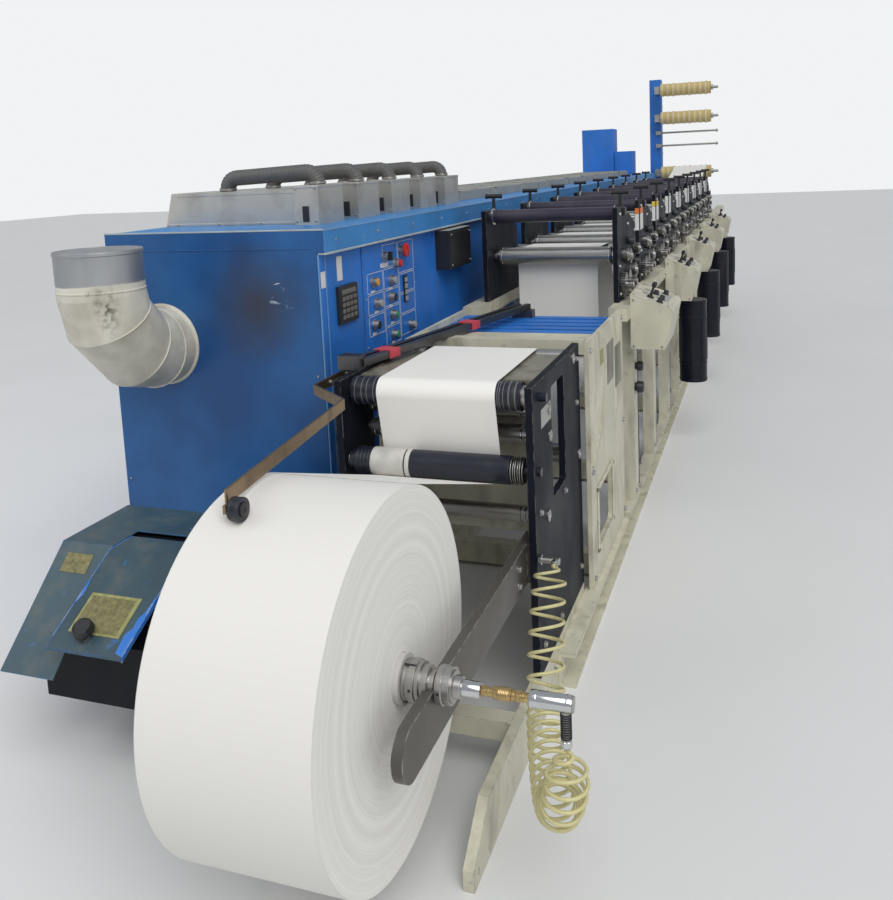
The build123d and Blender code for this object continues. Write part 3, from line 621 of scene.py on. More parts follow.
def supply_roll_details():
    """Keyed chucks, a polished sleeve and a brass coupler on the roll's shaft."""
    axis = Vector((0, 0, roll_height))
    chuck, slots, sleeve, nuts = shapes(4)
    core_radius = 0.0378
    collar = ((0.2045, 0.033), (0.226, 0.033), (0.2275, 0.031), (0.228, 0.025),
              (0.238, 0.025), (0.2385, 0.016))
    nose = ((0.272, 0.03), (0.275, 0.03), (0.277, 0.022), (0.288, 0.021), (0.29, 0.019))
    key_outline = ((0.038, -0.002), (0.0411, -0.002), (0.0411, 0.002), (0.038, 0.002))
    for side in both_sides:
        out = across * side
        ring(chuck, axis, out, core_radius, 0.178, 0.186, 0.0016, 48)
        ring(chuck, axis, out, core_radius, 0.189, 0.205, 0.003, 48)
        turned(chuck, axis, out, collar, 48)
        ring(chuck, axis, out, 0.035, 0.246, 0.258, 0.002, 48)
        turned(chuck, axis, out, nose, 36)
        for turn in spaced(0, 2 * pi / 3, 3):
            radial = Vector((0, cos(turn + 1.0), sin(turn + 1.0)))
            for reach, radius, size in ((0.197, 0.0405, 0.0032), (0.252, 0.0368, 0.003)):
                turned(slots, axis + out * reach + radial * radius, radial, ((0, size), (0.0004, size)), 12)
            radial = Vector((0, cos(turn + 1.9), sin(turn + 1.9)))
            tangent = across.cross(radial)
            skin(slots, *[[axis + out * x + radial * reach + tangent * shift for reach, shift in key_outline]
                          for x in (0.18, 0.204)])
    turned(sleeve, axis, across, ((0.288, 0.0132), (0.29, 0.0152), (0.322, 0.0152), (0.325, 0.0135),
                                  (0.3262, 0.01)), 36)
    for start, end, radius, sides in ((0.3265, 0.334, 0.0105, 6), (0.338, 0.342, 0.0092, 24),
                                      (0.349, 0.356, 0.0122, 6), (0.358, 0.38, 0.0125, 36),
                                      (0.384, 0.39, 0.01, 24), (0.393, 0.402, 0.0115, 6),
                                      (0.4035, 0.408, 0.0095, 24)):
        turned(nuts, axis, across, ((start, radius * 0.9), (start + 0.001, radius),
                                    (end - 0.001, radius), (end, radius * 0.9)), sides)
    rings(nuts, axis, across, 0.0123, spaced(0.3595, 0.0032, 6), 0.0022, 0.0006, 36)
    details({"chuck_rings": (chuck, steel), "chuck_slots": (slots, black_plastic),
             "polished_sleeve": (sleeve, chrome), "coupler_nuts": (nuts, brass)}, "supply_roll")


def hose_end_details():
    """The swivel's rings, the hose's spring guard and the elbow at the plate."""
    swivel, guard = shapes(2)
    axis, hose_end = (0, 0, roll_height), (0.484, 0, 0)
    turned(swivel, axis, across, ((0.4184, 0.012), (0.42, 0.0162), (0.494, 0.0162),
                                  (0.4985, 0.0142), (0.4988, 0.006)), 36)
    ring(swivel, axis, across, 0.016, 0.426, 0.432, 0.0008)
    ring(swivel, axis, across, 0.016, 0.486, 0.49, 0.0008)
    turned(swivel, hose_end, upward, ((0.404, 0.0105), (0.415, 0.0105), (0.416, 0.0095), (0.418, 0.0095)), 6)
    rings(guard, hose_end, upward, 0.0088, spaced(0.419, 0.0046, 11), 0.0038, 0.0018, 20)
    turned(swivel, (0.318, 0, 0.45), -forward,
           ((0.636, 0.0085), (0.637, 0.0108), (0.648, 0.0108), (0.649, 0.0085)), 6)
    turned(swivel, (0, 0.662, 0.45), across,
           ((0.272, 0.0125), (0.273, 0.0135), (0.281, 0.0135), (0.282, 0.012)), 6)
    details({"swivel_barrel": (swivel, chrome), "hose_spring_guard": (guard, black_plastic)})


def infeed_details():
    """Bolts, shaft caps and label plates of the side plates, and the guide bar's bands."""
    bolts, label, bands = shapes(3)
    bolt_places = ((1.177, 0.728), (0.992, 0.516), (0.7, 0.2), (1.19, 0.2), (0.7, 0.56),
                   (1.19, 0.86), (0.9, 0.18))
    cap_places = ((1.142, 0.871), (1.1994, 0.56), *[(y, z) for y, z, radius in infeed_idlers])
    shaft_cap = ((0, 0.016), (0.004, 0.016), (0.005, 0.014), (0.005, 0.007), (0.003, 0.006))
    for side in both_sides:
        out, face = across * side, plate_face * side
        for y, z in bolt_places:
            bolt(bolts, (face, y, z), out, frame_bolt)
        for y, z in cap_places:
            turned(bolts, (face, y, z), out, shaft_cap)
        fix(bolt, bolts, (0.24 * side,), (0.582, 0.69), (0.455, 0.41), out, rail_bolt)
        fix(bolt, bolts, (face,), (0.55, 0.8, 1.05), (0.07,), out, rail_bolt)
    for x in (plate_face, -plate_face - 0.001):
        slab(label, (x, 0.732, 0.772), (x + 0.001, 0.842, 0.822), 0.0004)
    band_outline = ((-0.029, 0.9045), (0.029, 0.9045), (0.029, 0.9295), (-0.029, 0.9295))
    for share in (0.12, 0.58):
        skin(bands, *[[Vector((-0.273 + 0.22 * reach + shift, 0.797 + 1.028 * reach - 0.21 * shift, z))
                       for shift, z in band_outline] for reach in (share, share + 0.05)])
    details({"infeed_bolts": (bolts, steel), "infeed_label_plates": (label, label_grey),
             "guide_bar_bands": (bands, red_tape)})


def infeed_roller_details():
    """Rings, bands, sleeve and collars of the two coated rollers, and the idlers' end rings."""
    marks, band, hubs, sleeve, cover, collars, idler_rings = shapes(7)
    top_axis, top_radius, low_axis = (0, 0.722, 0.859), 0.0379, (0, 0.684, 0.674)
    mark_places = (0.17, 0.1755, 0.185, 0.1985, 0.201, 0.2155, 0.2175, -0.1755, -0.195, -0.21, -0.23)
    rings(marks, top_axis, across, top_radius, mark_places, 0.0011, 0.0004, 40)
    ring(band, top_axis, across, top_radius, 0.205, 0.214, 0.0008, 40)
    for side, start in ((-1, 0.242), (1, 0.23)):
        turned(hubs, top_axis, across * side,
               ((start, 0.03), (0.244, 0.03), (0.245, 0.026), (0.251, 0.024)), 36)
    details({"top_roller_rings": (marks, label_grey), "top_roller_band": (band, black_plastic),
             "top_roller_hubs": (hubs, steel)}, "top_roller")
    for shape, outline in (
            (sleeve, ((-0.179, 0.037), (-0.176, 0.0388), (-0.086, 0.0388), (-0.084, 0.0372))),
            (sleeve, ((-0.08, 0.0372), (-0.0795, 0.0388), (-0.069, 0.0388), (-0.068, 0.0372))),
            (cover, ((0.149, 0.037), (0.203, 0.037), (0.2045, 0.036), (0.205, 0.028)))):
        turned(shape, low_axis, across, outline, 48)
    rings(cover, low_axis, across, 0.037, spaced(-0.223, 0.0105, 4), 0.007, 0.001, 40)
    for n, start in enumerate(spaced(0.206, 0.006, 6)):
        ring(collars, low_axis, across, 0.028, start, start + 0.0045, 0.0055 if n % 2 else 0.008, 40)
    rings(collars, low_axis, across, 0.012, spaced(-0.248, 0.004, 4), 0.003, 0.0105)
    details({"lower_roller_cover": (cover, black_rubber), "lower_roller_sleeve": (sleeve, sleeve_grey),
             "lower_roller_collars": (collars, steel)}, "lower_roller")
    for y, z, radius in infeed_idlers:
        rings(idler_rings, (0, y, z), across, radius, (-0.232, -0.214, 0.196, 0.21, 0.222), 0.006, 0.0012)
    detail("idler_end_rings", idler_rings, chrome)


def slope_patch(shape, slope, outline, start, rise):
    """A thin plate of any (x, reach) outline that lies on a sloping sheet."""
    foot, lean, outward = slope
    skin(shape, *[[foot + across * x + lean * reach + outward * depth for x, reach in outline]
                  for depth in (start, start + rise)])


def slope_plate(shape, slope, x0, x1, low, high, start, rise):
    """A thin rectangular plate that lies on a sloping sheet."""
    slope_patch(shape, slope, ((x0, low), (x1, low), (x1, high), (x0, high)), start, rise)


def guard_details():
    """The guard's folded cover, tilted flap, box painted near-black as shade under the lip, blank plates, and
    all round knobs.
    """
    cover, box, plates, smoky, screws, edge = shapes(6)
    sheet_fold(cover, ((0.118, 0.264), (0.121, 0.2615), (0.372, 0.497), (0.637, 0.497), (0.637, 0.5),
                       (0.37, 0.5)), -0.968, -0.806)
    sheet_fold(cover, ((0.474, 0.497), (0.637, 0.497), (0.637, 0.5), (0.474, 0.5)), -0.806, -0.325)
    sheet_fold(cover, ((0.37, 0.497), (0.442, 0.497), (0.442, 0.5), (0.37, 0.5)), -0.572, -0.325)
    flap_x0, flap_x1 = -0.8, -0.58
    sheet_fold(cover, ((0.1, 0.36), (0.102, 0.3575), (0.35, 0.4965), (0.44, 0.4965), (0.44, 0.4995),
                       (0.349, 0.4995)), flap_x0, flap_x1)
    for x, down in ((flap_x0 - 0.0005, 0.0035), (flap_x1 - 0.002, 0.01)):
        sheet_fold(edge, ((0.101, 0.3605), (0.103, 0.36 - down), (0.352, 0.497 - down), (0.44, 0.497 - down),
                          (0.44, 0.5), (0.349, 0.5)), x, x + 0.0025)
    sheet_fold(cover, ((0.1002, 0.36), (0.1002, 0.3545), (0.102, 0.3545), (0.103, 0.359)),
               flap_x0 + 0.002, flap_x1 - 0.002)
    sheet_fold(box, ((0.2, 0.165), (0.2, 0.325), (0.372, 0.486), (0.632, 0.486), (0.632, 0.165)),
               -0.905, -0.345)
    for x, y in product((-0.895, -0.4), (0.48, 0.59)):
        slab(box, (x, y, 0), (x + 0.04, y + 0.04, 0.168), 0.002)
    slab(box, (-0.908, 0.632, 0.04), (-0.385, 0.85, 0.12), 0.002)
    lip = (Vector((0, 0.118, 0.264)), unit(0, 0.252, 0.236), unit(0, -0.236, 0.252))
    flap = front, tilt, above = (Vector((0, 0.1, 0.36)), unit(0, 0.254, 0.142), unit(0, -0.142, 0.254))
    slope_plate(smoky, lip, -0.934, -0.85, 0.262, 0.315, 0.0002, 0.0012)
    slope_plate(plates, flap, -0.765, -0.617, 0.048, 0.158, 0.0002, 0.0014)
    slope_plate(smoky, flap, -0.758, -0.629, 0.054, 0.15, 0.0016, 0.0003)
    worn_right = ((-0.603, 0.012), (-0.5795, 0.006), (-0.5795, 0.19), (-0.585, 0.16), (-0.588, 0.128),
                  (-0.598, 0.106), (-0.596, 0.082), (-0.608, 0.06), (-0.606, 0.034))
    worn_left = ((-0.7995, 0.12), (-0.796, 0.128), (-0.79, 0.15), (-0.792, 0.176), (-0.7995, 0.2))
    for outline in (worn_right, worn_left):
        slope_patch(edge, flap, outline, 0.0001, 0.0005)
    slope_plate(screws, flap, -0.7, -0.692, 0.026, 0.042, 0.0004, 0.01)
    details({"guard_edges": (edge, bright_blue), "guard_blank_plates": (plates, aged_label),
             "guard_worn_plate": (smoky, smoky_label), "guard_screws": (screws, steel)})
    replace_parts(detail("guard_sheets", cover, guard_blue), "guard_cover")
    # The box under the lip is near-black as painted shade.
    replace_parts(detail("guard_box", box, shaded_guard_dark), "guard_body")
    knobs, = shapes(1)
    turned(knobs, front + across * -0.708 + tilt * 0.048, above,
           ((0, 0.011), (0.01, 0.011), (0.012, 0.022), (0.015, 0.0255), (0.031, 0.0245), (0.0345, 0.0225),
            (0.0345, 0.0205), (0.0325, 0.019), (0.0325, 0.006)), 32)
    skirted_knob = ((0, 0.014), (0.003, 0.0135), (0.004, 0.0105), (0.015, 0.0095), (0.018, 0.0075))
    outward = unit(*console_rise)
    for start in console_starts:
        for y, x in ((0.04, 0.427), (0.11, 0.427), (0.18, 0.397), (0.25, 0.427)):
            foot = Vector((x, start + y, 0.942 - (x - column_face) * 0.3467))
            turned(knobs, foot, outward, skirted_knob, 20)
            turned(knobs, foot + outward * 0.0182, outward, ((0, 0.006), (0.0006, 0.004)), 12)
    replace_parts(detail("moulded_knobs", knobs, black_plastic), "control_knobs")


def follower_details():
    """The wheel's rims and the bolts at the follower's bend and end."""
    rims, bolts = shapes(2)
    axis = (0, -0.128, 0.85157)
    rings(rims, axis, across, 0.0215, (-0.093, -0.079), 0.006, 0.0012)
    turned(rims, axis, across, ((-0.072, 0.014), (-0.069, 0.014), (-0.068, 0.01)), 20)
    detail("follower_wheel_rims", rims, black_plastic, "follower_wheel")
    bolt(bolts, (-0.109, -0.112, 0.872), -across, small_bolt)
    fix(bolt, bolts, (-0.327,), (0.74, 0.84), (0.873,), across, small_bolt)
    detail("follower_bolts", bolts, steel, "follower")


def panel_frame(shape, y0, y1, z0, z1, face, line=0.0022):
    """A thin outline on the cabinet side."""
    for low_y, high_y, low_z, high_z in ((y0, y1, z0, z0 + line), (y0, y1, z1 - line, z1),
                                         (y0, y0 + line, z0, z1), (y1 - line, y1, z0, z1)):
        slab(shape, (face, low_y, low_z), (face + 0.0008, high_y, high_z), 0.0001)


def cabinet_details():
    """The cabinet's end sheet darkened as painted shade, doors, worn cap edges and trim lightened as painted
    highlight, and rivets.
    """
    end, doors, lit_trim, worn, rivets = shapes(5)
    sheet, cap_face, tail = 0.0025, cabinet_side + 0.022, 8.895
    slab(end, (cabinet_back + 0.002, 0.8475, 0.084), (cabinet_side - 0.002, 0.85, 1.287), 0.0008)
    slab(end, (cabinet_side - sheet, 0.848, 1.2225), (cap_face, 0.85, 1.287), 0.0008)
    slab(end, (cabinet_back + 0.02, 0.846, 1.233), (cabinet_side - 0.02, 0.8478, 1.2355), 0.0006)
    # Strip along the end sheet's top edge: painted highlight with worn paint.
    slab(worn, (cabinet_back, 0.8468, 1.2868), (cap_face, 0.8535, 1.2915), 0.0008)
    door_edges = [0.853, 1.138, 1.597] + spaced(2.2, 0.614, 12)
    for first, last in zip(door_edges, door_edges[1:]):
        for x, top in ((cabinet_side, 1.217), (cabinet_back - sheet, 1.285)):
            slab(doors, (x, first + 0.002, 0.09), (x + sheet, last - 0.002, top), 0.001)
    # Strip under the cap band along the side: painted highlight with worn paint.
    slab(worn, (cabinet_side + 0.001, 0.85, 1.2165), (cabinet_side + 0.03, tail, 1.2225), 0.001)
    # Strip along the cap's top edge on the side: painted highlight.
    slab(lit_trim, (cap_face - 0.0005, 0.85, 1.285), (cap_face + 0.0015, tail, 1.2885), 0.0006)
    rivet = ((0, 0.005), (0.0018, 0.0045), (0.0028, 0.002))
    for x, out in ((cap_face, across), (cabinet_back - sheet, -across)):
        fix(turned, rivets, (x,), spaced(0.93, 0.31, 26), (1.255,), out, rivet, 12)
    # Strips at the corner and at the fold: painted highlight.
    slab(lit_trim, (cabinet_side - 0.001, 0.8475, 0.09), (cabinet_side + 0.003, 0.852, 1.216), 0.0008)
    slab(lit_trim, (cabinet_side + sheet, 0.884, 0.09), (cabinet_side + 0.0045, 0.89, 1.216), 0.0008)
    fix(cap_screw, rivets, (cabinet_back + 0.02, cabinet_side - 0.02), (0.8475,), (0.12, 0.5, 0.86),
        forward, door_screw)
    details({"cabinet_end_sheet": (end, shaded_end_look), "cabinet_doors": (doors, blue),
             "cabinet_lit_trim": (lit_trim, pale_highlight_blue), "cabinet_worn_lit_edges": (worn, worn_lit_edge),
             "cabinet_rivets": (rivets, steel)})


def panel_details():
    """Push-button caps and bezels, outlines, blank labels, keypad keys and screws of the control panel."""
    face = panel_front
    bezel, outlines, white, dark, grey, keys, screws = shapes(7)
    bezel_ring = ((0, 0.019), (0.0025, 0.019), (0.0035, 0.0165), (0.018, 0.0145), (0.019, 0.0132))
    for name, material, rise, spots in (
            ("black", black_plastic, 0.004, ((1.312, 1.165), (1.353, 1.021), (1.208, 0.95))),
            ("red", red_button, 0.009, ((1.463, 1.171), (1.405, 1.131))),
            ("amber", amber_button, 0.004, ((1.211, 1.091),)),
            ("grey", label_grey, 0.004, ((1.36, 1.078), (1.522, 0.897), (1.233, 1.018))),
            ("green", green_button, 0.004, ((1.362, 0.96), (1.362, 0.891)))):
        cap, = shapes(1)
        for y, z in spots:
            radius = 0.025 if z > 1.17 else 0.0125
            turned(cap, (face + 0.0185, y, z), across,
                   ((0, radius), (rise * 0.8, radius), (rise, radius * 0.8)), 20)
            turned(bezel, (face, y, z), across, bezel_ring, 28)
        detail("panel_caps_" + name, cap, material)
    slab(dark, (face + 0.018, 1.3085, 1.15), (face + 0.033, 1.3155, 1.18), 0.0015)
    slab(dark, (face, 1.47, 0.985), (face + 0.006, 1.5, 1.08), 0.001)
    for z in spaced(0.99, 0.022, 4):
        slab(grey, (face + 0.006, 1.473, z), (face + 0.0078, 1.497, z + 0.016), 0.0006)
    slab(white, (face, 1.28, 1.128), (face + 0.0008, 1.346, 1.142), 0.0002)
    for y, z in ((1.211, 1.06), (1.36, 1.05), (1.233, 0.99), (1.353, 0.993), (1.362, 0.932), (1.362, 0.865),
                 (1.208, 0.922)):
        slab(white, (face, y - 0.016, z - 0.005), (face + 0.0007, y + 0.016, z + 0.003), 0.0002)
    for y0, y1, levels in ((1.168, 1.296, (0.912, 0.982, 1.052, 1.122)),
                           (1.302, 1.43, (0.857, 0.924, 0.99, 1.05, 1.122, 1.204)),
                           (1.436, 1.578, (0.868, 0.945, 1.018, 1.09, 1.204))):
        for z0, z1 in zip(levels, levels[1:]):
            panel_frame(outlines, y0, y1, z0 + 0.002, z1 - 0.002, face)
    fix(cap_screw, screws, (face,), (1.15, 1.585), (0.884, 1.04, 1.196), across, panel_screw)
    door_face, key_face = cabinet_side + 0.0025, cabinet_side + 0.014
    slab(white, (door_face, 0.856, 1.118), (door_face + 0.0008, 0.884, 1.166), 0.0002)
    slab(white, (door_face, 0.962, 1.126), (door_face + 0.0008, 0.998, 1.2), 0.0002)
    slab(dark, (key_face, 0.955, 1.003), (key_face + 0.001, 1.068, 1.102), 0.0004)
    for y, z in product(spaced(0.9615, 0.0262, 4), spaced(1.0085, 0.0185, 4)):
        slab(keys, (key_face + 0.0014, y, z), (key_face + 0.0034, y + 0.0205, z + 0.0125), 0.0008)
    slab(keys, (key_face + 0.001, 0.962, 1.084), (key_face + 0.0022, 1.06, 1.098), 0.0005)
    slab(grey, (cabinet_side + 0.001, 1.822, 1.208), (box_front, 2.08, 1.21), 0.0008)
    slab(dark, (box_front, 1.83, 1.066), (box_front + 0.0018, 2.072, 1.2), 0.0015)
    fix(cap_screw, screws, (box_front + 0.0018,), (1.838, 2.064), (1.074, 1.192), across, panel_screw)
    details({"panel_bezels": (bezel, steel), "panel_outlines": (outlines, label_white),
             "panel_blank_labels": (white, label_white), "panel_dark_fittings": (dark, black_plastic),
             "panel_grey_fittings": (grey, label_grey), "keypad_keys": (keys, key_grey),
             "panel_screws": (screws, steel)})


def rounded_route(points, radius, steps=10):
    """Points along a route whose inner corners are rounded to one radius."""
    route = [points[0]]
    for before, corner, after in zip(points, points[1:], points[2:]):
        back, ahead = (before - corner).normalized(), (after - corner).normalized()
        half = back.angle(ahead) / 2
        reach = radius / tan(half)
        middle = corner + (back + ahead).normalized() * radius / sin(half)
        first, last = corner + back * reach - middle, corner + ahead * reach - middle
        swing = first.angle(last)
        for step in range(steps + 1):
            share = step / steps
            turn = (first * sin((1 - share) * swing) + last * sin(share * swing)) / sin(swing)
            route.append(middle + turn)
    route.append(points[-1])
    return route


def blower_details():
    """Ribbed hoses between the blower housings, with their clips, and the housings' seams and screws."""
    slots, screws, seams, clips, hoses = shapes(5)
    hose_radius, near_x, far_x = 0.0262, -0.564, -0.9
    for start in blower_starts:
        slab(slots, (-0.57, start - 0.0625, 1.298), (-0.548, start - 0.06, 1.348), 0.0004)
        fix(cap_screw, screws, (-0.592, -0.524), (start - 0.06,), (1.3, 1.402), forward, panel_screw)
        slab(seams, (-0.602, start - 0.062, 1.404), (-0.512, start + 0.122, 1.4135), 0.0015)
        slab(seams, (-1.128, start - 0.0015, 1.29), (-0.604, start, 1.298), 0.0006)
        slab(seams, (-1.095, start - 0.0015, 1.388), (-0.604, start + 0.25, 1.4015), 0.001)
        fix(cap_screw, screws, (-1.08, -0.92, -0.76, -0.63), (start - 0.0015,), (1.294,), forward, 0.0032)
        y = start + 0.04
        for x, z in ((near_x, 1.414), (far_x, 1.402)):
            ring(clips, (x, y, z), upward, hose_radius, 0.001, 0.01, 0.003, 28)
        corners = ((near_x, 1.412), (near_x, 1.456), (far_x, 1.444), (far_x, 1.4))
        spots = along(rounded_route([Vector((x, y, z)) for x, z in corners], 0.038), 150)
        tube(hoses, spots, [hose_radius * (1 if n % 3 else 0.915) for n in range(len(spots))], 20)
    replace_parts(detail("ribbed_blower_hoses", hoses, duct_grey), "blower_hoses")
    details({"blower_slots": (slots, black_plastic), "blower_screws": (screws, steel),
             "blower_seams": (seams, stainless), "blower_hose_clips": (clips, steel)})


def top_details():
    """Rims of the grey trays, and the bands of the exhaust elbow."""
    rims, bands = shapes(2)
    back, front, low, high, tray_length, rim = -1.08, -0.58, 1.326, 1.334, 0.54, 0.012
    for start in tray_starts:
        for y in (start, start + tray_length - rim):
            slab(rims, (back, y, low), (front, y + rim, high), 0.002)
        for x in (back, front - rim):
            slab(rims, (x, start, low), (x + rim, start + tray_length, high), 0.002)
    for y, z, lean in ((0.79, 0.945, (0, -0.95, 0.12)), (0.71, 0.965, (0, -0.86, 0.5)),
                       (0.61, 1.065, (0, -0.5, 0.86))):
        ring(bands, (-0.95, y, z), lean, 0.1215, -0.0025, 0.0025, 0.0018, 64)
    axis = (-0.95, 0.59, 0)
    ring(bands, axis, upward, 0.12, 1.252, 1.264, 0.002, 64)
    ring(bands, axis, upward, 0.1198, 1.15, 1.156, 0.002, 64)
    turned(bands, (-0.95, 0.8475, 0.945), forward,
           ((0, 0.128), (0.003, 0.127), (0.006, 0.1225), (0.007, 0.1212)), 64)
    turned(bands, (-0.905, 0.4785, 1.155), forward, ((0, 0.006), (0.003, 0.005), (0.004, 0.002)), 12)
    details({"tray_rims": (rims, tray_grey), "duct_bands": (bands, duct_look)})


def station_details():
    """End fittings of the rollers, bolts, blocks, knobs and blank labels of each print station."""
    collars, bolts, blocks, white, warm, yellow, knobs, hubs = shapes(8)
    tube_end = ((-0.2515, 0.034), (-0.246, 0.034), (-0.245, 0.0275))
    handle_end = ((0, 0.0088), (0.002, 0.0108), (0.008, 0.0108), (0.0095, 0.008))
    gear_hole = ((0, 0.006), (0.0006, 0.0058), (0.0007, 0.003))
    hub_outline = ((0.2935, 0.8), (0.2975, 0.78), (0.298, 0.5), (0.302, 0.48), (0.3025, 0.3))
    gear_height, gear_hole_reach = 0.96, 0.03
    for n, start in enumerate(station_starts):
        front, rear, last, low = [Vector((0, start + y, z)) for y, z in (
            (0.1186, 1.076), (0.19, 1.064), (0.43, 1.072), (0.33, 0.99))]
        for side in both_sides:
            out, face = across * side, plate_face * side
            ring(collars, front, out, 0.0338, 0.216, 0.225, 0.0016)
            for axis in (front, rear, last):
                ring(collars, axis, out, 0.012, 0.231, 0.241, 0.01, 24)
                ring(bolts, axis, out, 0.012, 0.2425, 0.25, 0.005, 6)
            for axis, radius in ((front, 0.026), (rear, 0.03), (last, 0.024), (low, 0.034)):
                turned(hubs, axis, out, [(reach, radius * share) for reach, share in hub_outline], 28)
                for turn in (0.8, 2.4, 4.0, 5.6):
                    spot = axis + out * 0.294 + Vector((0, cos(turn), sin(turn))) * radius * 0.88
                    cap_screw(hubs, spot, out, 0.0024)
            for y, z in ((0.04, 0.93), (0.44, 0.93), (0.03, 1.04), (0.44, 1.15), (0.05, 1.241), (0.25, 1.19)):
                bolt(bolts, (face, start + y, z), out, plate_bolt)
            stem_x, stem_y = 0.262 * side, start + 0.152
            slab(blocks, (stem_x - 0.02, stem_y - 0.022, 1.23), (stem_x + 0.02, stem_y + 0.022, 1.262), 0.003)
            ring(blocks, (stem_x, stem_y, 0), upward, 0.007, 1.264, 1.274, 0.004, 20)
            for end in both_sides:
                turned(blocks, (stem_x + 0.026 * end, stem_y, 1.322), across * end, handle_end, 20)
            for y, z in ((0.25, 1.12), (0.4, 1.02)):
                knob(knobs, (face, start + y, z), out, 0.019, 0.03)
        if n:
            upper = {1: warm, 2: yellow}.get(n, white)
            for shape, z0, z1 in ((white, 1.134, 1.206), (upper, 1.207, 1.232)):
                slab(shape, (0.2535, start - 0.0012, z0), (0.2705, start, z1), 0.0002)
                slab(shape, (plate_face, start + 0.03, z0), (plate_face + 0.001, start + 0.12, z1), 0.0002)
        for axis in (across, -across):
            turned(collars, (0, start + 0.1, 1.241), axis, tube_end, 28)
        for setback in (0.094, 0.196):
            for turn in spaced(0.3, 2 * pi / 5, 5):
                y = start + setback + gear_hole_reach * cos(turn)
                turned(bolts, (0.29, y, gear_height + gear_hole_reach * sin(turn)), across, gear_hole, 14)
            turned(bolts, (0.316, start + setback, gear_height), across,
                   ((0, 0.0145), (0.002, 0.0145), (0.0025, 0.0125)))
    details({"station_collars": (collars, chrome), "station_bolts": (bolts, steel),
             "station_blocks": (blocks, black_plastic), "station_labels": (white, label_white),
             "station_orange_label": (warm, orange_label), "station_yellow_label": (yellow, warm_label),
             "station_knobs": (knobs, black_plastic), "station_hubs": (hubs, oily_steel)})


def frame_details():
    """Bolts, blank plates, knobs, welds and window trim of the frame, and the lead screws' threads."""
    bolts, dark, yellow, knobs, rods, welds = shapes(6)
    for side in both_sides:
        out, face, post_face = across * side, panel_face * side, column_face * side
        fix(bolt, bolts, (face,), (1.262, 1.88), (0.13, 0.48, 0.87), out, frame_bolt)
        low, high = sorted((face, face + 0.0012 * side))
        for shape, y0, y1, z0, z1 in ((dark, 1.56, 1.69, 0.69, 0.83), (dark, 1.72, 1.85, 0.64, 0.79),
                                      (yellow, 1.43, 1.49, 0.785, 0.835)):
            slab(shape, (low, y0, z0), (high, y1, z1), 0.0004)
        sheet_fold(welds, ((1.26, 0.5), (1.275, 0.492), (1.545, 0.64), (1.53, 0.65)),
                   face, face + 0.004 * side)
        low, high = sorted((face, face + 0.006 * side))
        for y0, y1, z0, z1 in ((1.32, 1.336, 0.19, 0.41), (1.606, 1.622, 0.19, 0.41),
                               (1.32, 1.622, 0.189, 0.205), (1.32, 1.622, 0.395, 0.411)):
            slab(welds, (low, y0, z0), (high, y1, z1), 0.002)
        knob(knobs, (post_face, 2.075, 0.56), out, 0.024, 0.034)
        for start in station_starts:
            fix(bolt, bolts, (post_face,), (start + 0.03, start + 0.1), (0.14, 0.83), out, frame_bolt)
            fix(bolt, bolts, (post_face,), (start + 0.2, start + 0.56), (0.875,), out, plate_bolt)
            knob(knobs, (post_face, start + 0.065, 0.64), out, 0.02, 0.03)
    thread = ((0, 0.0121), (0.0015, 0.0136), (0.003, 0.0136), (0.0045, 0.0121))
    nut = ((0, 0.018), (0.002, 0.02), (0.02, 0.02), (0.022, 0.018))
    for start in station_starts:
        screw_places = (start + 0.16, start + 0.23)
        fix(turned, rods, (0.297,), screw_places, spaced(0.24, 0.008, 70), upward, thread, 12)
        fix(turned, rods, (0.297,), screw_places, (0.18, 0.815), upward, nut, 6)
    details({"frame_bolts": (bolts, steel), "frame_dark_plates": (dark, olive),
             "frame_yellow_plate": (yellow, aged_label), "frame_knobs": (knobs, black_plastic),
             "screw_threads": (rods, dark_steel), "frame_welds": (welds, cream)})


def console_details():
    """Screws, levers, dials and blank plates of the consoles, and the ribs of the drums."""
    screws, levers, dials, plates, ribs = shapes(5)
    slope, outward = unit(console_rise[2], 0, -console_rise[0]), unit(*console_rise)
    lever = ((0, 0.014), (0.006, 0.013), (0.01, 0.006), (0.04, 0.0045), (0.044, 0.0085),
             (0.052, 0.0105), (0.06, 0.0085), (0.064, 0.004))
    plate_corners = ((0.088, 0.1), (0.138, 0.1), (0.138, 0.25), (0.088, 0.25))
    for start in console_starts:
        crown = Vector((column_face, start, 0.942))

        def on_slope(reach, y):
            return crown + slope * reach + Vector((0, y, 0))

        for reach, y in ((0.012, 0.012), (0.148, 0.012), (0.012, 0.318), (0.148, 0.318)):
            cap_screw(screws, on_slope(reach, y), outward, 0.0042)
        for x, z in ((0.334, 0.742), (0.44, 0.742), (0.334, 0.92)):
            cap_screw(screws, (x, start, z), forward, door_screw)
        turned(levers, on_slope(0.07, 0.075), outward, lever, 16)
        for y in (0.14, 0.215):
            turned(dials, on_slope(0.05, y), outward, ((0, 0.02), (0.003, 0.02), (0.004, 0.017)), 28)
        corners = [on_slope(reach, y) for reach, y in plate_corners]
        skin(plates, corners, [corner + outward * 0.001 for corner in corners])
    for start in console_starts[1:]:
        axis = Vector((0.45, start + 0.07, 0))
        rings(ribs, axis, upward, 0.0676, (0.314, 0.4, 0.64, 0.716), 0.012, 0.0022, 40)
        for turn in spaced(0, 2 * pi / 8, 8):
            turned(ribs, axis + Vector((0.068 * cos(turn), 0.068 * sin(turn), 0.42)), upward,
                   ((0, 0.003), (0.212, 0.003)), 8)
    details({"console_screws": (screws, steel), "console_levers": (levers, black_plastic),
             "console_dials": (dials, label_grey), "console_plates": (plates, label_grey),
             "drum_ribs": (ribs, drum_black)})


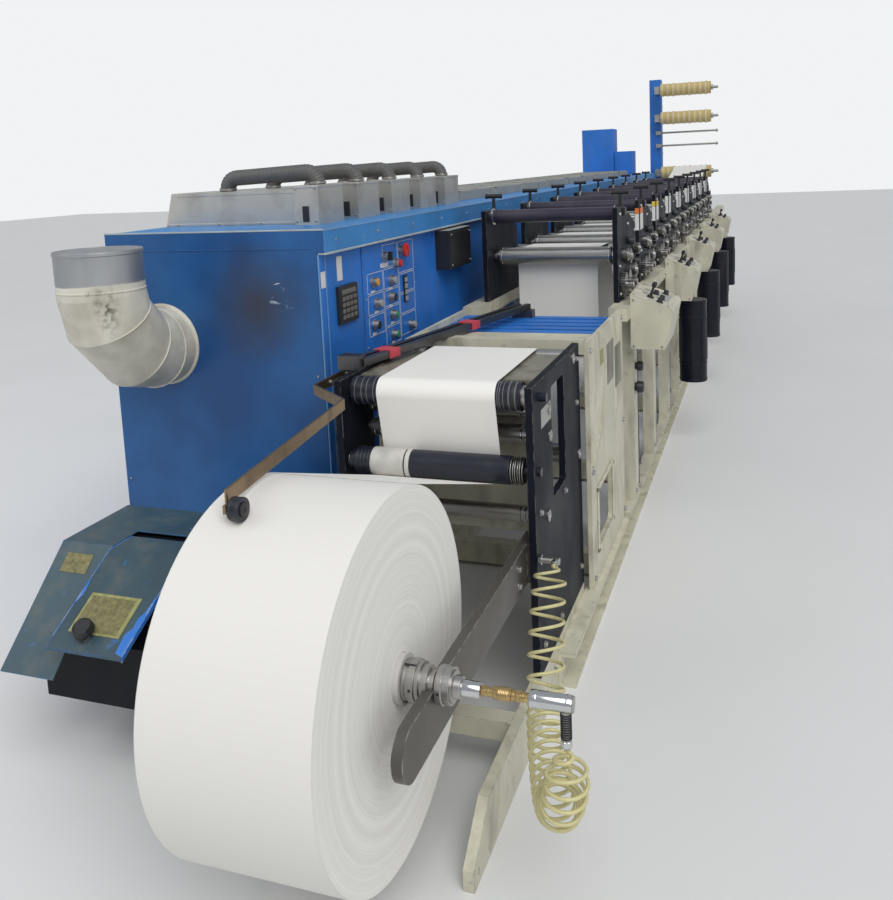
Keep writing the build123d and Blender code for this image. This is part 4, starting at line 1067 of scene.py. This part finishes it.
def rewind_details():
    """Wound waste strips on the cores, collars on the shafts and the tower's fixings."""
    strips, collars, fixings = shapes(3)
    core_y, shaft_y = 8.81, 8.9
    for z in (1.287, 1.87, 2.166):
        for n, x in enumerate(spaced(-0.3, 0.056, 9)):
            ring(strips, (0, core_y, z), across, 0.0635, x, x + 0.022, 0.003 + 0.0022 * (n % 3), 40)
        rings(collars, (0, core_y, z), across, 0.014, (-0.316, 0.214), 0.02, 0.013, 28)
        bolt(collars, (0.278, core_y, z), across, 0.01)
        fix(bolt, fixings, (-0.374,), (8.8, 8.87), (z - 0.024, z + 0.024), -across, small_bolt)
    for z in (1.578, 1.716):
        ring(collars, (0, shaft_y, z), across, 0.01, -0.318, -0.306, 0.008, 24)
        ring(collars, (0, shaft_y, z), across, 0.01, 0.255, 0.268, 0.008, 24)
    fix(bolt, fixings, (-0.322,), (8.945, 9.045), (0.06, 0.3, 1.1, 1.5, 2.0, 2.25), across, frame_bolt)
    details({"rewind_strips": (strips, wound_strip), "rewind_collars": (collars, steel),
             "tower_bolts": (fixings, steel)})


supply_roll_details()
hose_end_details()
infeed_details()
infeed_roller_details()
guard_details()
follower_details()
cabinet_details()
panel_details()
blower_details()
top_details()
station_details()
frame_details()
console_details()
rewind_details()


# Stage and light

def stage_floor():
    """A plain pale floor that keeps the press's shadow."""
    material = plain("floor_grey", (0.74, 0.74, 0.73), 0.7, 1.2, 0.03)
    mesh = bpy.data.meshes.new("floor")
    mesh.from_pydata([(-30, -30, 0), (30, -30, 0), (30, 30, 0), (-30, 30, 0)], [], [(0, 1, 2, 3)])
    mesh.materials.append(material)
    made = bpy.data.objects.new("floor", mesh)
    bpy.context.collection.objects.link(made)


def studio_light(name, spot, aim, size, power):
    data = bpy.data.lights.new(name, "AREA")
    data.shape = "SQUARE"
    data.size = size
    data.energy = power
    made = bpy.data.objects.new(name, data)
    made.location = spot
    made.rotation_euler = (aim - spot).to_track_quat("-Z", "Y").to_euler()
    bpy.context.collection.objects.link(made)


def overhead_sun():
    """A broad even light from high on the operator side."""
    data = bpy.data.lights.new("sun", "SUN")
    data.energy = 1.5
    data.angle = radians(50)
    made = bpy.data.objects.new("sun", data)
    made.rotation_euler = (radians(28), radians(24), 0)
    bpy.context.collection.objects.link(made)


def studio_world():
    """Plain white behind the press, and softer blue-white light on it."""
    world = bpy.data.worlds.new("studio")
    bpy.context.scene.world = world
    world.use_nodes = True
    tree = world.node_tree
    tree.nodes.clear()
    rays = add(tree, "LightPath")
    seen = calc(tree, "MAXIMUM", rays.outputs["Is Camera Ray"], rays.outputs["Is Transmission Ray"])
    soft = add(tree, "Background", {"Color": (0.86, 0.9, 0.96, 1), "Strength": 0.45})
    white = add(tree, "Background", {"Color": (0.88, 0.89, 0.9, 1), "Strength": 1.0})
    both = add(tree, "MixShader", {"Fac": seen, 1: soft.outputs[0], 2: white.outputs[0]})
    out = tree.nodes.new("ShaderNodeOutputWorld")
    tree.links.new(both.outputs[0], out.inputs["Surface"])


stage_floor()
studio_world()
overhead_sun()
studio_light("key", place(3.5, -3.5, 4.5), place(0, 1.5, 0.5), 3.0, 70)
studio_light("fill", place(-4.0, -1.5, 4.0), place(-0.3, 2.0, 0.6), 3.0, 40)

bpy.context.scene.view_settings.view_transform = "Standard"
